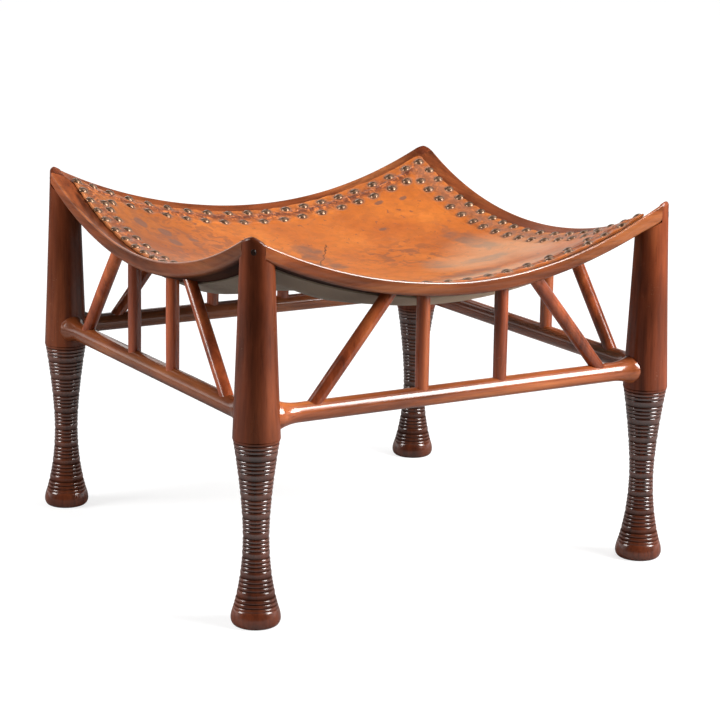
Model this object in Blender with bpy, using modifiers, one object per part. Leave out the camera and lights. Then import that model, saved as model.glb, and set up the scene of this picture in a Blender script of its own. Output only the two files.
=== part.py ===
"""Square lattice stool: turned legs, dished rails, a strutted frame and a nailed leather seat.

The stool stands on z = 0 with its middle over the origin and its front along -Y. All four
sides are alike, so each wooden piece is made once, for the front or its left leg, and turned
about Z for the other sides.
"""
import math

import bmesh
import bpy
from mathutils import Matrix, Vector

# Setting out of the frame, metres
LEG_SPACING = 0.405
SEAM_GAP = 0.0003
CUT_OVERRUN = 0.02
WELD_DISTANCE = 0.00001

# Curved seat rails: the outer top edge dips from the legs to the middle of each side
RAIL_MIDDLE_HEIGHT = 0.2829
RAIL_RISE = 0.0478
RISE_FOURTH_POWER_SHARE = 0.04
RAIL_WIDTH = 0.0455
RAIL_FACE = 0.0118
RAIL_FACE_GAIN = 0.0006
RAIL_TOP_DISH = 0.0128
TOP_DISH_POWER = 1.25
RAIL_UNDER_DROP = 0.0080
RAIL_EDGE_ROUND = 0.0020
RAIL_STEPS = 18
RAIL_ROW_SHARES = (0.20, 0.40, 0.60, 0.80, 1.0)

# Legs: plain tapered post above, ring-turned waist below, flared foot
LEG_HEAD_RADIUS = 0.0145
LEG_HEAD_TAPER_TOP = 0.330
POST_RADIUS = 0.0205
POST_BOTTOM = 0.1639
POST_TAPER_POWER = 1.35
POST_STATION_SHARES = (0.0, 0.25, 0.5, 0.75, 1.0)
WAIST_RADIUS = 0.0114
WAIST_HEIGHT = 0.081
WAIST_TOP_RADIUS = 0.0202
UPPER_WAIST_POWER = 1.55
LOWER_WAIST_POWER = 2.2
FOOT_BAND_TOP = 0.0150
FOOT_BAND_RADIUS = 0.0197
FOOT_RADIUS = 0.0215
FOOT_WIDEST_HEIGHT = 0.0064
FOOT_BASE_RADIUS = 0.0172
RING_HEIGHT = 0.0035
BAND_HEIGHT = 0.0068
GROOVE_DEPTH = 0.0008
RINGS_IN_GROUP = 3
RING_GROUPS = 8
LEG_SIDES = 12

# Stretchers: round bars that swell into trumpets where they enter the legs
STRETCHER_HEIGHT = 0.1812
STRETCHER_RADIUS = 0.0087
TRUMPET_RADIUS = 0.0125
TRUMPET_LENGTH = 0.020
TRUMPET_SINK = 0.0050
TRUMPET_STEPS = 4
TENON_RADIUS = 0.0042
TENON_LENGTH = 0.0085
STRETCHER_SIDES = 12

# Struts: four plain round bars on each side, let into sockets above and below
STRUT_RADIUS = 0.0060
UPRIGHT_OFFSET = 0.0405
BRACE_FOOT_OFFSET = 0.1525
BRACE_HEAD_OFFSET = 0.0730
STRETCHER_SOCKET = 0.0050
RAIL_SOCKET = 0.0042
STRUT_SIDES = 12

# Leather seat, its padding and the cloth lining below
LEATHER_MARGIN = 0.0170
LEATHER_THICKNESS = 0.0022
LEATHER_GAP = 0.0004
SEAT_SAG = 0.0180
PADDING_MIDDLE = 0.0045
LINING_THICKNESS = 0.0015
LINING_MARGIN = 0.0280
LINING_EDGE_GAP = 0.0004
LINING_BULGE = 0.0089
INSIDE_STATION_SHARES = (0.22, 0.44, 0.64, 0.82)
OUTSIDE_STATION_SHARES = (0.33, 0.67)
CORNER_SHARES = (0.0, 0.35, 0.7, 1.0)

# Pegs that pin the leg heads
PEG_RADIUS = 0.0024
PEG_LENGTH = 0.0090
PEG_PROUD = 0.0002
PEG_DROP = 0.0120
PEG_TURN = math.radians(40.0)
PEG_SIDES = 10

LEG_AXIS = LEG_SPACING / 2
OUTER_FACE = LEG_AXIS + LEG_HEAD_RADIUS
INNER_FACE = OUTER_FACE - RAIL_WIDTH
SIDES = ("front", "right", "back", "left")
CORNERS = ("front_left", "front_right", "back_right", "back_left")


def new_collection(name):
    """Make a collection in the scene."""
    collection = bpy.data.collections.new(name)
    bpy.context.scene.collection.children.link(collection)
    return collection


def material(name, colour, roughness, metallic=0.0):
    """Make a plain Principled material."""
    made = bpy.data.materials.new(name)
    made.use_nodes = True
    shader = made.node_tree.nodes["Principled BSDF"]
    shader.inputs["Base Color"].default_value = (*colour, 1.0)
    shader.inputs["Roughness"].default_value = roughness
    shader.inputs["Metallic"].default_value = metallic
    return made


def add_object(name, mesh, finish, collection):
    """Put a mesh into the scene as a named object with one material."""
    obj = bpy.data.objects.new(name, mesh)
    collection.objects.link(obj)
    if finish is not None:
        mesh.materials.clear()
        mesh.materials.append(finish)
    return obj


def hide_as_cutter(obj):
    """Show a cutter as wire only."""
    obj.hide_render = True
    obj.display_type = "WIRE"


def mesh_from(bm, name):
    """Turn a bmesh into a mesh with smooth shading and sharp edges kept."""
    bmesh.ops.recalc_face_normals(bm, faces=bm.faces)
    mesh = bpy.data.meshes.new(name)
    bm.to_mesh(mesh)
    bm.free()
    mesh.shade_smooth()
    mesh.set_sharp_from_angle(angle=math.radians(35.0))
    return mesh


def baked_mesh(obj):
    """Give the mesh that an object's modifiers make, and remove the object."""
    depsgraph = bpy.context.evaluated_depsgraph_get()
    mesh = bpy.data.meshes.new_from_object(obj.evaluated_get(depsgraph))
    mesh.transform(obj.matrix_world)
    mesh.name = obj.name
    bpy.data.objects.remove(obj)
    return mesh


def cut(obj, cutter):
    """Subtract a cutter from an object."""
    modifier = obj.modifiers.new("cut_" + cutter.name, "BOOLEAN")
    modifier.operation = "DIFFERENCE"
    modifier.solver = "EXACT"
    modifier.object = cutter


def turned(name, profile, sides, collection):
    """Turn a profile of (radius, height) points, listed top to bottom, about Z."""
    bm = bmesh.new()
    points = [bm.verts.new((radius, 0.0, height)) for radius, height in profile]
    for upper, lower in zip(points, points[1:]):
        bm.edges.new((upper, lower))
    mesh = bpy.data.meshes.new(name)
    bm.to_mesh(mesh)
    bm.free()
    obj = bpy.data.objects.new(name, mesh)
    collection.objects.link(obj)
    screw = obj.modifiers.new("turn", "SCREW")
    screw.steps = sides
    screw.render_steps = sides
    screw.use_merge_vertices = True
    screw.merge_threshold = WELD_DISTANCE
    return obj


def bar(name, radius, start, end, sides, collection):
    """Make a plain round bar between two points."""
    run = end - start
    bm = bmesh.new()
    bmesh.ops.create_cone(
        bm, cap_ends=True, segments=sides, radius1=radius, radius2=radius, depth=run.length,
        matrix=Matrix.Translation((start + end) / 2) @ run.to_track_quat("Z", "Y").to_matrix().to_4x4())
    return add_object(name, mesh_from(bm, name), None, collection)


def block(name, x_stations, y_stations, upper, lower, collection, notch=None):
    """Make a block on a plan grid, closed above and below by two surfaces of (x, y).

    A grid is bent to the upper surface, its cells are split along the seat's diagonals, and
    it is drawn down to the lower surface. Cells below notch on both axes are left out.
    """
    bm = bmesh.new()
    columns = len(x_stations) - 1
    rows = len(y_stations) - 1
    bmesh.ops.create_grid(bm, x_segments=columns, y_segments=rows, size=1.0)
    for vert in bm.verts:
        column = round((vert.co.x + 1.0) * columns / 2)
        row = round((vert.co.y + 1.0) * rows / 2)
        vert.co.x = x_stations[column]
        vert.co.y = y_stations[row]
    if notch is not None:
        corner = [face for face in bm.faces if max(vert.co.x for vert in face.verts) <= notch
                  and max(vert.co.y for vert in face.verts) <= notch]
        bmesh.ops.delete(bm, geom=corner, context="FACES")
    for face in list(bm.faces):
        middle = face.calc_center_median()
        rising = 1.0 if middle.x * middle.y > 0.0 else -1.0
        along = sorted(face.verts, key=lambda v: v.co.x + rising * v.co.y)
        bmesh.utils.face_split(face, along[0], along[-1])
    for face in bm.faces:
        if face.normal.z < 0.0:
            face.normal_flip()
    grown = bmesh.ops.extrude_face_region(bm, geom=list(bm.faces))
    bottom = [item for item in grown["geom"] if isinstance(item, bmesh.types.BMVert)]
    below = set(bottom)
    for vert in bm.verts:
        surface = lower if vert in below else upper
        vert.co.z = surface(vert.co.x, vert.co.y)
    return add_object(name, mesh_from(bm, name), None, collection)


def rise(along):
    """Height of a rail's top edge above its middle, at a distance along the rail."""
    share = along / LEG_AXIS
    fourth = RISE_FOURTH_POWER_SHARE
    return RAIL_RISE * ((1.0 - fourth) * share**2 + fourth * share**4)


def top_dish(inward):
    """How far the rail's top falls, at a distance in from its outer face: steepest at the lip."""
    left = max(0.0, 1.0 - inward / RAIL_WIDTH)
    return RAIL_TOP_DISH * (1.0 - left**TOP_DISH_POWER)


def top_at(along, inward):
    """Height of the frame's top, from a place along a rail and in from its outer face."""
    return RAIL_MIDDLE_HEIGHT + rise(along) - top_dish(inward)


def under_at(along, inward):
    """Height of the rails' underside, from a place along a rail and in from its outer face."""
    face = RAIL_FACE + RAIL_FACE_GAIN * (along / LEG_AXIS) ** 2
    return RAIL_MIDDLE_HEIGHT + rise(along) - face - RAIL_UNDER_DROP * inward / RAIL_WIDTH


def across(x, y):
    """Give the distances of a plan point along the nearest side and in from its outer face."""
    return min(abs(x), abs(y)), OUTER_FACE - max(abs(x), abs(y))


def frame_top(x, y):
    """Top surface of the four rails and the leg heads."""
    return top_at(*across(x, y))


def frame_under(x, y):
    """Underside of the four rails."""
    return under_at(*across(x, y))


def edge_round(inward):
    """How far a rail's outer edges are eased: all of it on the outer face, none further in."""
    return RAIL_EDGE_ROUND * max(0.0, 1.0 - inward / RAIL_EDGE_ROUND)


def rail_top(x, y):
    """Top of the front rail with its eased outer edge."""
    inward = OUTER_FACE + y
    return top_at(x, inward) - edge_round(inward)


def rail_under(x, y):
    """Underside of the front rail with its eased outer edge."""
    inward = OUTER_FACE + y
    return under_at(x, inward) + edge_round(inward)


def housing_under(x, y):
    """Shoulder cut in a leg, a seam's width below the rails."""
    return frame_under(x, y) - SEAM_GAP


def bowl(x, y, edge_drop, sag):
    """Surface stretched over the opening between the rails.

    Along its edges it lies edge_drop below the rails' top edge, and its middle hangs by sag
    below the middles of its edges.
    """
    lift = (rise(INNER_FACE) - sag) * (1.0 - (x / INNER_FACE) ** 2) * (1.0 - (y / INNER_FACE) ** 2)
    return RAIL_MIDDLE_HEIGHT + rise(x) + rise(y) - rise(INNER_FACE) - edge_drop + lift


def in_opening(x, y):
    """Say whether a plan point lies within the opening between the rails."""
    return max(abs(x), abs(y)) < INNER_FACE


def leather_under(x, y):
    """Underside of the leather: on the rails, then stretched over the opening."""
    if in_opening(x, y):
        return bowl(x, y, RAIL_TOP_DISH, SEAT_SAG) + LEATHER_GAP
    along, inward = across(x, y)
    return RAIL_MIDDLE_HEIGHT + rise(along) - top_dish(inward) + LEATHER_GAP


def leather_top(x, y):
    """Upper face of the leather."""
    return leather_under(x, y) + LEATHER_THICKNESS


LINING_EDGE_DROP = RAIL_FACE + RAIL_UNDER_DROP + LINING_BULGE
LINING_SAG = (SEAT_SAG + RAIL_TOP_DISH + PADDING_MIDDLE + LINING_THICKNESS + 2 * SEAM_GAP
              - LEATHER_GAP - LINING_EDGE_DROP)


def lining_under(x, y):
    """Outer face of the cloth lining: tacked under the rails, hanging like a shallow bowl."""
    if in_opening(x, y):
        along = max(abs(x), abs(y))
        gain = RAIL_FACE_GAIN * (min(abs(x), abs(y)) / LEG_AXIS) ** 2 * (along / INNER_FACE) ** 2
        return bowl(x, y, LINING_EDGE_DROP, LINING_SAG) - gain
    inward = across(x, y)[1]
    slack = (inward - LINING_MARGIN) / (RAIL_WIDTH - LINING_MARGIN)
    tacked = LINING_THICKNESS + LINING_EDGE_GAP
    return frame_under(x, y) - tacked - slack * (LINING_BULGE - tacked)


def lining_top(x, y):
    """Inner face of the cloth lining."""
    return lining_under(x, y) + LINING_THICKNESS


def padding_top(x, y):
    """Top of the padding, just under the leather."""
    return leather_under(x, y) - SEAM_GAP


def padding_under(x, y):
    """Underside of the padding, just over the lining."""
    return lining_top(x, y) + SEAM_GAP


def mirrored(stations):
    """Repeat positive stations on both sides of zero."""
    return [-station for station in reversed(stations)] + [0.0] + list(stations)


def seat_stations(edge):
    """Plan stations of a seat layer: coarse over the opening, finer over the rails."""
    inside = [share * INNER_FACE for share in INSIDE_STATION_SHARES]
    outside = [INNER_FACE + share * (edge - INNER_FACE) for share in OUTSIDE_STATION_SHARES]
    return mirrored(inside + [INNER_FACE] + outside + [edge])


def ring_profile(height_top, height_bottom, radius):
    """Outer points of the ring turning, top to bottom: groups of narrow rings and a band."""
    points = []
    height = height_top
    for group in range(RING_GROUPS + 1):
        for _ in range(RINGS_IN_GROUP):
            points.append((radius(height) - GROOVE_DEPTH, height))
            points.append((radius(height - RING_HEIGHT / 2), height - RING_HEIGHT / 2))
            height -= RING_HEIGHT
        if group < RING_GROUPS:
            points.append((radius(height) - GROOVE_DEPTH, height))
            points.append((radius(height - GROOVE_DEPTH), height - GROOVE_DEPTH))
            lower = height - BAND_HEIGHT + GROOVE_DEPTH
            points.append((radius(lower), lower))
            height -= BAND_HEIGHT
    points.append((radius(height) - GROOVE_DEPTH, height))
    return [point for point in points if point[1] > height_bottom]


def waist_radius(height):
    """Outer radius of the ring turning at a height."""
    if height > WAIST_HEIGHT:
        share = (height - WAIST_HEIGHT) / (POST_BOTTOM - WAIST_HEIGHT)
        return WAIST_RADIUS + (WAIST_TOP_RADIUS - WAIST_RADIUS) * share**UPPER_WAIST_POWER
    share = (WAIST_HEIGHT - height) / (WAIST_HEIGHT - FOOT_BAND_TOP)
    return WAIST_RADIUS + (FOOT_BAND_RADIUS - WAIST_RADIUS) * share**LOWER_WAIST_POWER


def leg_profile():
    """Outline of a leg from its head to its foot."""
    top = RAIL_MIDDLE_HEIGHT + rise(OUTER_FACE) + CUT_OVERRUN
    points = [(0.0, top), (LEG_HEAD_RADIUS, top)]
    taper = LEG_HEAD_TAPER_TOP - POST_BOTTOM
    for share in POST_STATION_SHARES:
        swell = (POST_RADIUS - LEG_HEAD_RADIUS) * share**POST_TAPER_POWER
        points.append((LEG_HEAD_RADIUS + swell, LEG_HEAD_TAPER_TOP - share * taper))
    points += ring_profile(POST_BOTTOM - GROOVE_DEPTH, FOOT_BAND_TOP, waist_radius)
    points.append((FOOT_BAND_RADIUS, FOOT_BAND_TOP))
    points.append((FOOT_RADIUS, FOOT_WIDEST_HEIGHT))
    points.append(((FOOT_RADIUS + FOOT_BASE_RADIUS) / 2, FOOT_WIDEST_HEIGHT / 4))
    points.append((FOOT_BASE_RADIUS, 0.0))
    points.append((0.0, 0.0))
    return points


def stretcher_profile(gap):
    """Outline of a stretcher about its own axis, grown by a gap for the socket cutter."""
    post = LEG_HEAD_RADIUS + (POST_RADIUS - LEG_HEAD_RADIUS) * (
        (LEG_HEAD_TAPER_TOP - STRETCHER_HEIGHT) / (LEG_HEAD_TAPER_TOP - POST_BOTTOM)) ** POST_TAPER_POWER
    surface = LEG_AXIS - post
    shoulder = surface + TRUMPET_SINK
    half = [(0.0, shoulder + TENON_LENGTH + gap), (TENON_RADIUS + gap, shoulder + TENON_LENGTH + gap),
            (TENON_RADIUS + gap, shoulder + gap), (TRUMPET_RADIUS + gap, shoulder + gap)]
    for step in range(TRUMPET_STEPS + 1):
        share = step / TRUMPET_STEPS
        swell = (TRUMPET_RADIUS - STRETCHER_RADIUS) * (1.0 - share) ** 2
        half.append((STRETCHER_RADIUS + swell + gap, surface - share * TRUMPET_LENGTH))
    return half + [(radius, -height) for radius, height in reversed(half)]


def lay_along_front(obj):
    """Lay a piece turned about Z along the front side, at the stretchers' height."""
    obj.rotation_euler = (0.0, math.radians(90.0), 0.0)
    obj.location = (0.0, -LEG_AXIS, STRETCHER_HEIGHT)


def strut_lines():
    """Ends of the front side's four struts, each from its foot to its head."""
    foot = STRETCHER_HEIGHT + STRETCHER_RADIUS - STRETCHER_SOCKET
    lines = []
    for offset_foot, offset_head in ((-BRACE_FOOT_OFFSET, -BRACE_HEAD_OFFSET),
                                     (-UPRIGHT_OFFSET, -UPRIGHT_OFFSET),
                                     (UPRIGHT_OFFSET, UPRIGHT_OFFSET),
                                     (BRACE_FOOT_OFFSET, BRACE_HEAD_OFFSET)):
        axis_foot = Vector((offset_foot, -LEG_AXIS, STRETCHER_HEIGHT))
        head = frame_under(offset_head, -LEG_AXIS) + RAIL_SOCKET
        axis_head = Vector((offset_head, -LEG_AXIS, head))
        run = axis_head - axis_foot
        lines.append((axis_foot + run * ((foot - STRETCHER_HEIGHT) / run.z), axis_head))
    return lines


def strut_sockets(collection):
    """Cutters for the blind sockets that take the struts' ends."""
    cutters = []
    for index, (foot, head) in enumerate(strut_lines()):
        reach = (head - foot).normalized() * SEAM_GAP
        socket = bar(f"socket_{index}", STRUT_RADIUS + SEAM_GAP, foot - reach, head + reach,
                     STRUT_SIDES, collection)
        hide_as_cutter(socket)
        cutters.append(socket)
    return cutters


def mitre_cutter(name, side, collection):
    """Wedge that cuts one end of the front rail to the line between leg axis and seat middle."""
    reach = 2 * OUTER_FACE
    bm = bmesh.new()
    bmesh.ops.create_cube(bm, size=2 * reach)
    bmesh.ops.translate(bm, verts=bm.verts, vec=(side * (reach - SEAM_GAP / 2), 0.0, 0.0))
    turn = Matrix.Rotation(side * math.radians(45.0), 4, "Z")
    bmesh.ops.transform(bm, verts=bm.verts, matrix=turn)
    cutter = add_object(name, mesh_from(bm, name), None, collection)
    hide_as_cutter(cutter)
    return cutter


def make_rail_mesh(cutters):
    """Front rail: a board dished along and across, mitred behind the leg heads."""
    x_stations = [LEG_AXIS * (2.0 * step / RAIL_STEPS - 1.0) for step in range(RAIL_STEPS + 1)]
    inward = [0.0, RAIL_EDGE_ROUND] + [share * RAIL_WIDTH for share in RAIL_ROW_SHARES]
    y_stations = [distance - OUTER_FACE for distance in inward]
    rail = block("rail", x_stations, y_stations, rail_top, rail_under, bpy.context.scene.collection)
    for name, side in (("mitre_left", -1.0), ("mitre_right", 1.0)):
        cut(rail, mitre_cutter(name, side, cutters))
    for socket in strut_sockets(cutters):
        cut(rail, socket)
    return baked_mesh(rail)


def make_stretcher_mesh(cutters):
    """Front stretcher with its trumpet ends, tenons and strut sockets."""
    stretcher = turned("stretcher", stretcher_profile(0.0), STRETCHER_SIDES, bpy.context.scene.collection)
    lay_along_front(stretcher)
    for socket in strut_sockets(cutters):
        cut(stretcher, socket)
    return baked_mesh(stretcher)


def corner_cutter(name, stations, surface, notch, cutters):
    """Cutter over the front left corner, from a surface of (x, y) upwards."""
    ceiling = RAIL_MIDDLE_HEIGHT + rise(OUTER_FACE) + 2 * CUT_OVERRUN
    cutter = block(name, stations, stations, lambda x, y: ceiling, surface, cutters, notch)
    hide_as_cutter(cutter)
    return cutter


def make_leg_mesh(cutters):
    """Front left leg: turned, housed for two rails, trimmed to the seat and bored for stretchers."""
    leg = turned("leg", leg_profile(), LEG_SIDES, bpy.context.scene.collection)
    leg.location = (-LEG_AXIS, -LEG_AXIS, 0.0)
    seam = -LEG_AXIS - SEAM_GAP
    outside = -OUTER_FACE - CUT_OVERRUN
    over_rails = [seam + share * (LEG_HEAD_RADIUS + CUT_OVERRUN) for share in CORNER_SHARES]
    over_head = [seam + share * (outside - seam) for share in reversed(CORNER_SHARES)]
    cut(leg, corner_cutter("housing", [outside] + over_rails, housing_under, seam, cutters))
    cut(leg, corner_cutter("head_trim", over_head + over_rails[1:], frame_top, None, cutters))
    for name, turn in (("bore_front", 0.0), ("bore_left", -90.0)):
        bore = turned(name, stretcher_profile(SEAM_GAP), STRETCHER_SIDES, bpy.context.scene.collection)
        lay_along_front(bore)
        bore_mesh = baked_mesh(bore)
        bore_mesh.transform(Matrix.Rotation(math.radians(turn), 4, "Z"))
        cutter = add_object(name, bore_mesh, None, cutters)
        hide_as_cutter(cutter)
        cut(leg, cutter)
    start, end = peg_line()
    reach = (end - start).normalized()
    hole = bar("peg_hole", PEG_RADIUS + SEAM_GAP, start - reach * CUT_OVERRUN, end + reach * SEAM_GAP,
               PEG_SIDES, cutters)
    hide_as_cutter(hole)
    cut(leg, hole)
    return baked_mesh(leg)


def peg_line():
    """Ends of the front left leg's peg, from its outer end inwards."""
    out = Vector((-math.sin(PEG_TURN), -math.cos(PEG_TURN), 0.0))
    tip = LEG_AXIS + LEG_HEAD_RADIUS * math.sqrt(0.5)
    centre = Vector((-LEG_AXIS, -LEG_AXIS, RAIL_MIDDLE_HEIGHT + rise(tip) - PEG_DROP))
    outer = LEG_HEAD_RADIUS + PEG_PROUD
    return centre + out * outer, centre + out * (outer - PEG_LENGTH)


def copies(mesh, names, finish, collection):
    """Place four turned copies of a front piece, one on each side or corner."""
    for index, name in enumerate(names):
        obj = add_object(name, mesh, finish, collection)
        obj.rotation_euler = (0.0, 0.0, math.radians(90.0 * index))


def build():
    """Make the stool."""
    for obj in list(bpy.data.objects):
        bpy.data.objects.remove(obj)
    stool = new_collection("lattice_stool")
    cutters = new_collection("cutters")
    polished = material("polished_mahogany", (0.19, 0.055, 0.022), 0.28)
    turned_wood = material("dark_turned_mahogany", (0.10, 0.032, 0.018), 0.32)
    hide = material("tan_leather", (0.60, 0.19, 0.045), 0.50)
    cloth = material("grey_lining_cloth", (0.30, 0.27, 0.22), 0.90)
    stuffing = material("hair_padding", (0.22, 0.17, 0.12), 0.95)
    dark = material("peg_end", (0.03, 0.012, 0.008), 0.45)

    copies(make_leg_mesh(cutters), [f"leg_{corner}" for corner in CORNERS], turned_wood, stool)
    copies(make_rail_mesh(cutters), [f"rail_{side}" for side in SIDES], polished, stool)
    copies(make_stretcher_mesh(cutters), [f"stretcher_{side}" for side in SIDES], polished, stool)
    for index, (foot, head) in enumerate(strut_lines()):
        strut = bar(f"strut_{index}", STRUT_RADIUS, foot, head, STRUT_SIDES, bpy.context.scene.collection)
        names = [f"strut_{side}_{index + 1}" for side in SIDES]
        copies(baked_mesh(strut), names, polished, stool)
    start, end = peg_line()
    peg = bar("peg", PEG_RADIUS, start, end, PEG_SIDES, bpy.context.scene.collection)
    copies(baked_mesh(peg), [f"peg_{corner}" for corner in CORNERS], dark, stool)

    edge = OUTER_FACE - LEATHER_MARGIN
    leather = block("seat_leather", seat_stations(edge), seat_stations(edge),
                    leather_top, leather_under, stool)
    leather.data.materials.append(hide)
    edge = OUTER_FACE - LINING_MARGIN
    lining = block("seat_lining", seat_stations(edge), seat_stations(edge),
                   lining_top, lining_under, stool)
    lining.data.materials.append(cloth)
    inside = [share * INNER_FACE for share in INSIDE_STATION_SHARES] + [INNER_FACE - 2 * SEAM_GAP]
    padding = block("seat_padding", mirrored(inside), mirrored(inside), padding_top, padding_under, stool)
    padding.data.materials.append(stuffing)


build()
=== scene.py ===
"""Square lattice stool with a nailed leather seat: its finishes, fine shapes, light and camera.

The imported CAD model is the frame. Every piece here is worked out from it and from a few real
sizes in metres, with the stool's middle over the origin and its front along -Y.
"""
import math

import bpy
import numpy as np
from mathutils import Matrix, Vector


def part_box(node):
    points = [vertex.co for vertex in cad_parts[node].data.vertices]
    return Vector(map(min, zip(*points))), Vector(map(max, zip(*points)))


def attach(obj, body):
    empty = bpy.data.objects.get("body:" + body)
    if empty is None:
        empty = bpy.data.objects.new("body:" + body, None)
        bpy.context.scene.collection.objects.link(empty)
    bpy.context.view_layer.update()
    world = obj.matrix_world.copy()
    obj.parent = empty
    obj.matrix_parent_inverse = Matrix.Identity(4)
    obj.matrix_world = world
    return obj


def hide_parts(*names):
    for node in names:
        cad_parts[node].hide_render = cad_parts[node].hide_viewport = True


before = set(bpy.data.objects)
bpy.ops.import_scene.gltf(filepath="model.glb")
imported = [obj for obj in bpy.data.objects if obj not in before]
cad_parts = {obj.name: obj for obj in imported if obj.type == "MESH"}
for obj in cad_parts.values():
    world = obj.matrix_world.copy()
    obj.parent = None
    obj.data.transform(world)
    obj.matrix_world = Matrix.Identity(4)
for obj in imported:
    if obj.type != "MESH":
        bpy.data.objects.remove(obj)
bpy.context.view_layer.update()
millimetre = 0.001
sides = ("front", "right", "back", "left")
corners = ("front_left", "front_right", "back_right", "back_left")

# Camera. It stands at the photographer's place, low and to the left of the front, with a long
# lens. Its three axes come from its turn about the vertical, its tilt and a small roll.
camera_place = (-1.0794, -1.8619, 0.6665)
camera_azimuth = math.radians(-30.47)
camera_elevation = math.radians(13.05)
camera_roll = math.radians(0.84)
camera_lens = 115.9

level_right = np.array([math.cos(camera_azimuth), math.sin(camera_azimuth), 0.0])
backward = np.array([math.sin(camera_azimuth) * math.cos(camera_elevation),
                     -math.cos(camera_azimuth) * math.cos(camera_elevation),
                     math.sin(camera_elevation)])
level_up = np.cross(backward, level_right)
camera_right = math.cos(camera_roll) * level_right + math.sin(camera_roll) * level_up
camera_up = math.cos(camera_roll) * level_up - math.sin(camera_roll) * level_right
camera_turn = Matrix(np.column_stack([camera_right, camera_up, backward]).tolist()).to_4x4()
camera_data = bpy.data.cameras.new("photographer")
camera_data.lens = camera_lens
camera = bpy.data.objects.new("photographer", camera_data)
camera.matrix_world = Matrix.Translation(camera_place) @ camera_turn
bpy.context.scene.collection.objects.link(camera)
bpy.context.scene.camera = camera


# Seat rails. Each is a mahogany board sawn to a hollow curve, dished on top, with its long
# edges eased and its ends mitred behind the leg heads. It is glued on the legs' shoulders.
foot_low, foot_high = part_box("leg_front_left")
leg_axis = abs(foot_low.x + foot_high.x) / 2
head_radius = 14.5 * millimetre
outer_face = leg_axis + head_radius
rail_width = 45.5 * millimetre
rail_middle_height = 282.9 * millimetre
rail_rise = 47.8 * millimetre
rise_fourth_power_share = 0.04
rail_face = 11.8 * millimetre
rail_face_gain = 0.6 * millimetre
rail_top_dish = 12.8 * millimetre
top_dish_power = 1.25
rail_under_drop = 8.0 * millimetre
rail_top_round = 2.0 * millimetre
rail_under_round = 3.0 * millimetre
rail_inner_round = 1.5 * millimetre
rail_face_swell = 0.35 * millimetre
joint_gap = 0.05 * millimetre
lip_reach = 15.0 * millimetre
strip_shares = (-1.0, -0.75, -0.5, -0.25, 0.0, 0.25, 0.5, 0.75, 0.9, 1.0)
lip_lifts_mm = {
    "front": (0.0, 0.3, 0.6, 0.7, -0.2, 0.1, 1.1, 3.0, 4.8, 5.4),
    "right": (-1.5, 0.6, 1.4, 2.0, 2.2, 2.0, 1.4, 0.6, 0.2, 0.0),
    "back": (0.0, -0.3, -0.1, 0.7, 1.6, 2.3, 2.2, 1.2, 0.4, 0.0),
    "left": (0.0, 2.2, 3.8, 3.4, 3.8, 4.0, 4.2, 3.8, 3.4, 3.0),
}
under_lifts_mm = {
    "front": (-1.6, -0.6, -0.5, -0.2, -0.7, -0.9, 0.5, 1.9, 2.4, 0.3),
    "right": (0.0, 0.6, 1.4, 2.0, 2.2, 2.0, 1.4, 0.6, 0.2, 0.0),
    "back": (0.0, -0.3, -0.1, 0.7, 1.6, 2.3, 2.2, 1.2, 0.4, 0.0),
    "left": (-0.8, 0.5, 1.5, 1.9, 1.8, 2.8, 3.1, 2.1, 1.6, 1.3),
}
rail_steps = 120
high_corner_lift = 3.0 * millimetre
high_corner_lean = 2.6 * millimetre
far_corner_lean = 2.4 * millimetre
lift_starts = 190.0 * millimetre
lift_ends = 255.0 * millimetre


def rise(along):
    """Height gained by a rail from its middle: a parabola with a little fourth power."""
    share = along / leg_axis
    fourth = rise_fourth_power_share
    return rail_rise * ((1.0 - fourth) * share**2 + fourth * share**4)


def rail_top_at(along, inward):
    """Top of a rail: the rise, less a dish that falls as a power, steepest at the lip."""
    left = np.clip(1.0 - inward / rail_width, 0.0, None)
    return rail_middle_height + rise(along) - rail_top_dish * (1.0 - left**top_dish_power)


def rail_under_at(along, inward):
    """Underside of a rail: the rise, less the face's height and an even slope inwards."""
    face = rail_face + rail_face_gain * (along / leg_axis) ** 2
    return rail_middle_height + rise(along) - face - rail_under_drop * inward / rail_width


def strip_lift(x, y, lifts_mm):
    """How much higher the saw left the rails' outer strips than an even curve, at plan points.

    Each side's heights run from its left end to its right end and fade out further in.
    """
    lift = 0.0 * x
    for side, along, out in zip(sides, (x, y, -x, -y), (-y, x, y, -x)):
        fade = np.clip(1.0 - (outer_face - out) / lip_reach, 0.0, 1.0)
        lift = lift + fade * np.interp(along / leg_axis, strip_shares, lifts_mm[side]) * millimetre
    return lift


def nearest_rail(x, y):
    """Turn plan points into places along the nearest rail and in from its outer face."""
    return np.minimum(abs(x), abs(y)), outer_face - np.maximum(abs(x), abs(y))


def grid_quads(rows, columns, closed_rows=False):
    """Corner numbers of the quads of a grid whose points are listed row by row."""
    row = np.arange(rows - 1)[:, None]
    column = np.arange(columns if closed_rows else columns - 1)[None, :]
    beside = (column + 1) % columns
    corner = [row * columns + column, row * columns + beside,
              (row + 1) * columns + beside, (row + 1) * columns + column]
    return np.stack(corner, axis=-1).reshape(-1, 4)


def turned_about_z(points, quarter_turns):
    """Turn points, in space or in plan, about the stool's middle by a number of quarter turns."""
    turned = np.array(points)
    for _ in range(quarter_turns):
        turned[:, :2] = np.column_stack([-turned[:, 1], turned[:, 0]])
    return turned


def smooth_step(value, start, end):
    """Climb from 0 to 1 between two values, with level ends."""
    share = np.clip((value - start) / (end - start), 0.0, 1.0)
    return share * share * (3.0 - 2.0 * share)


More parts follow.
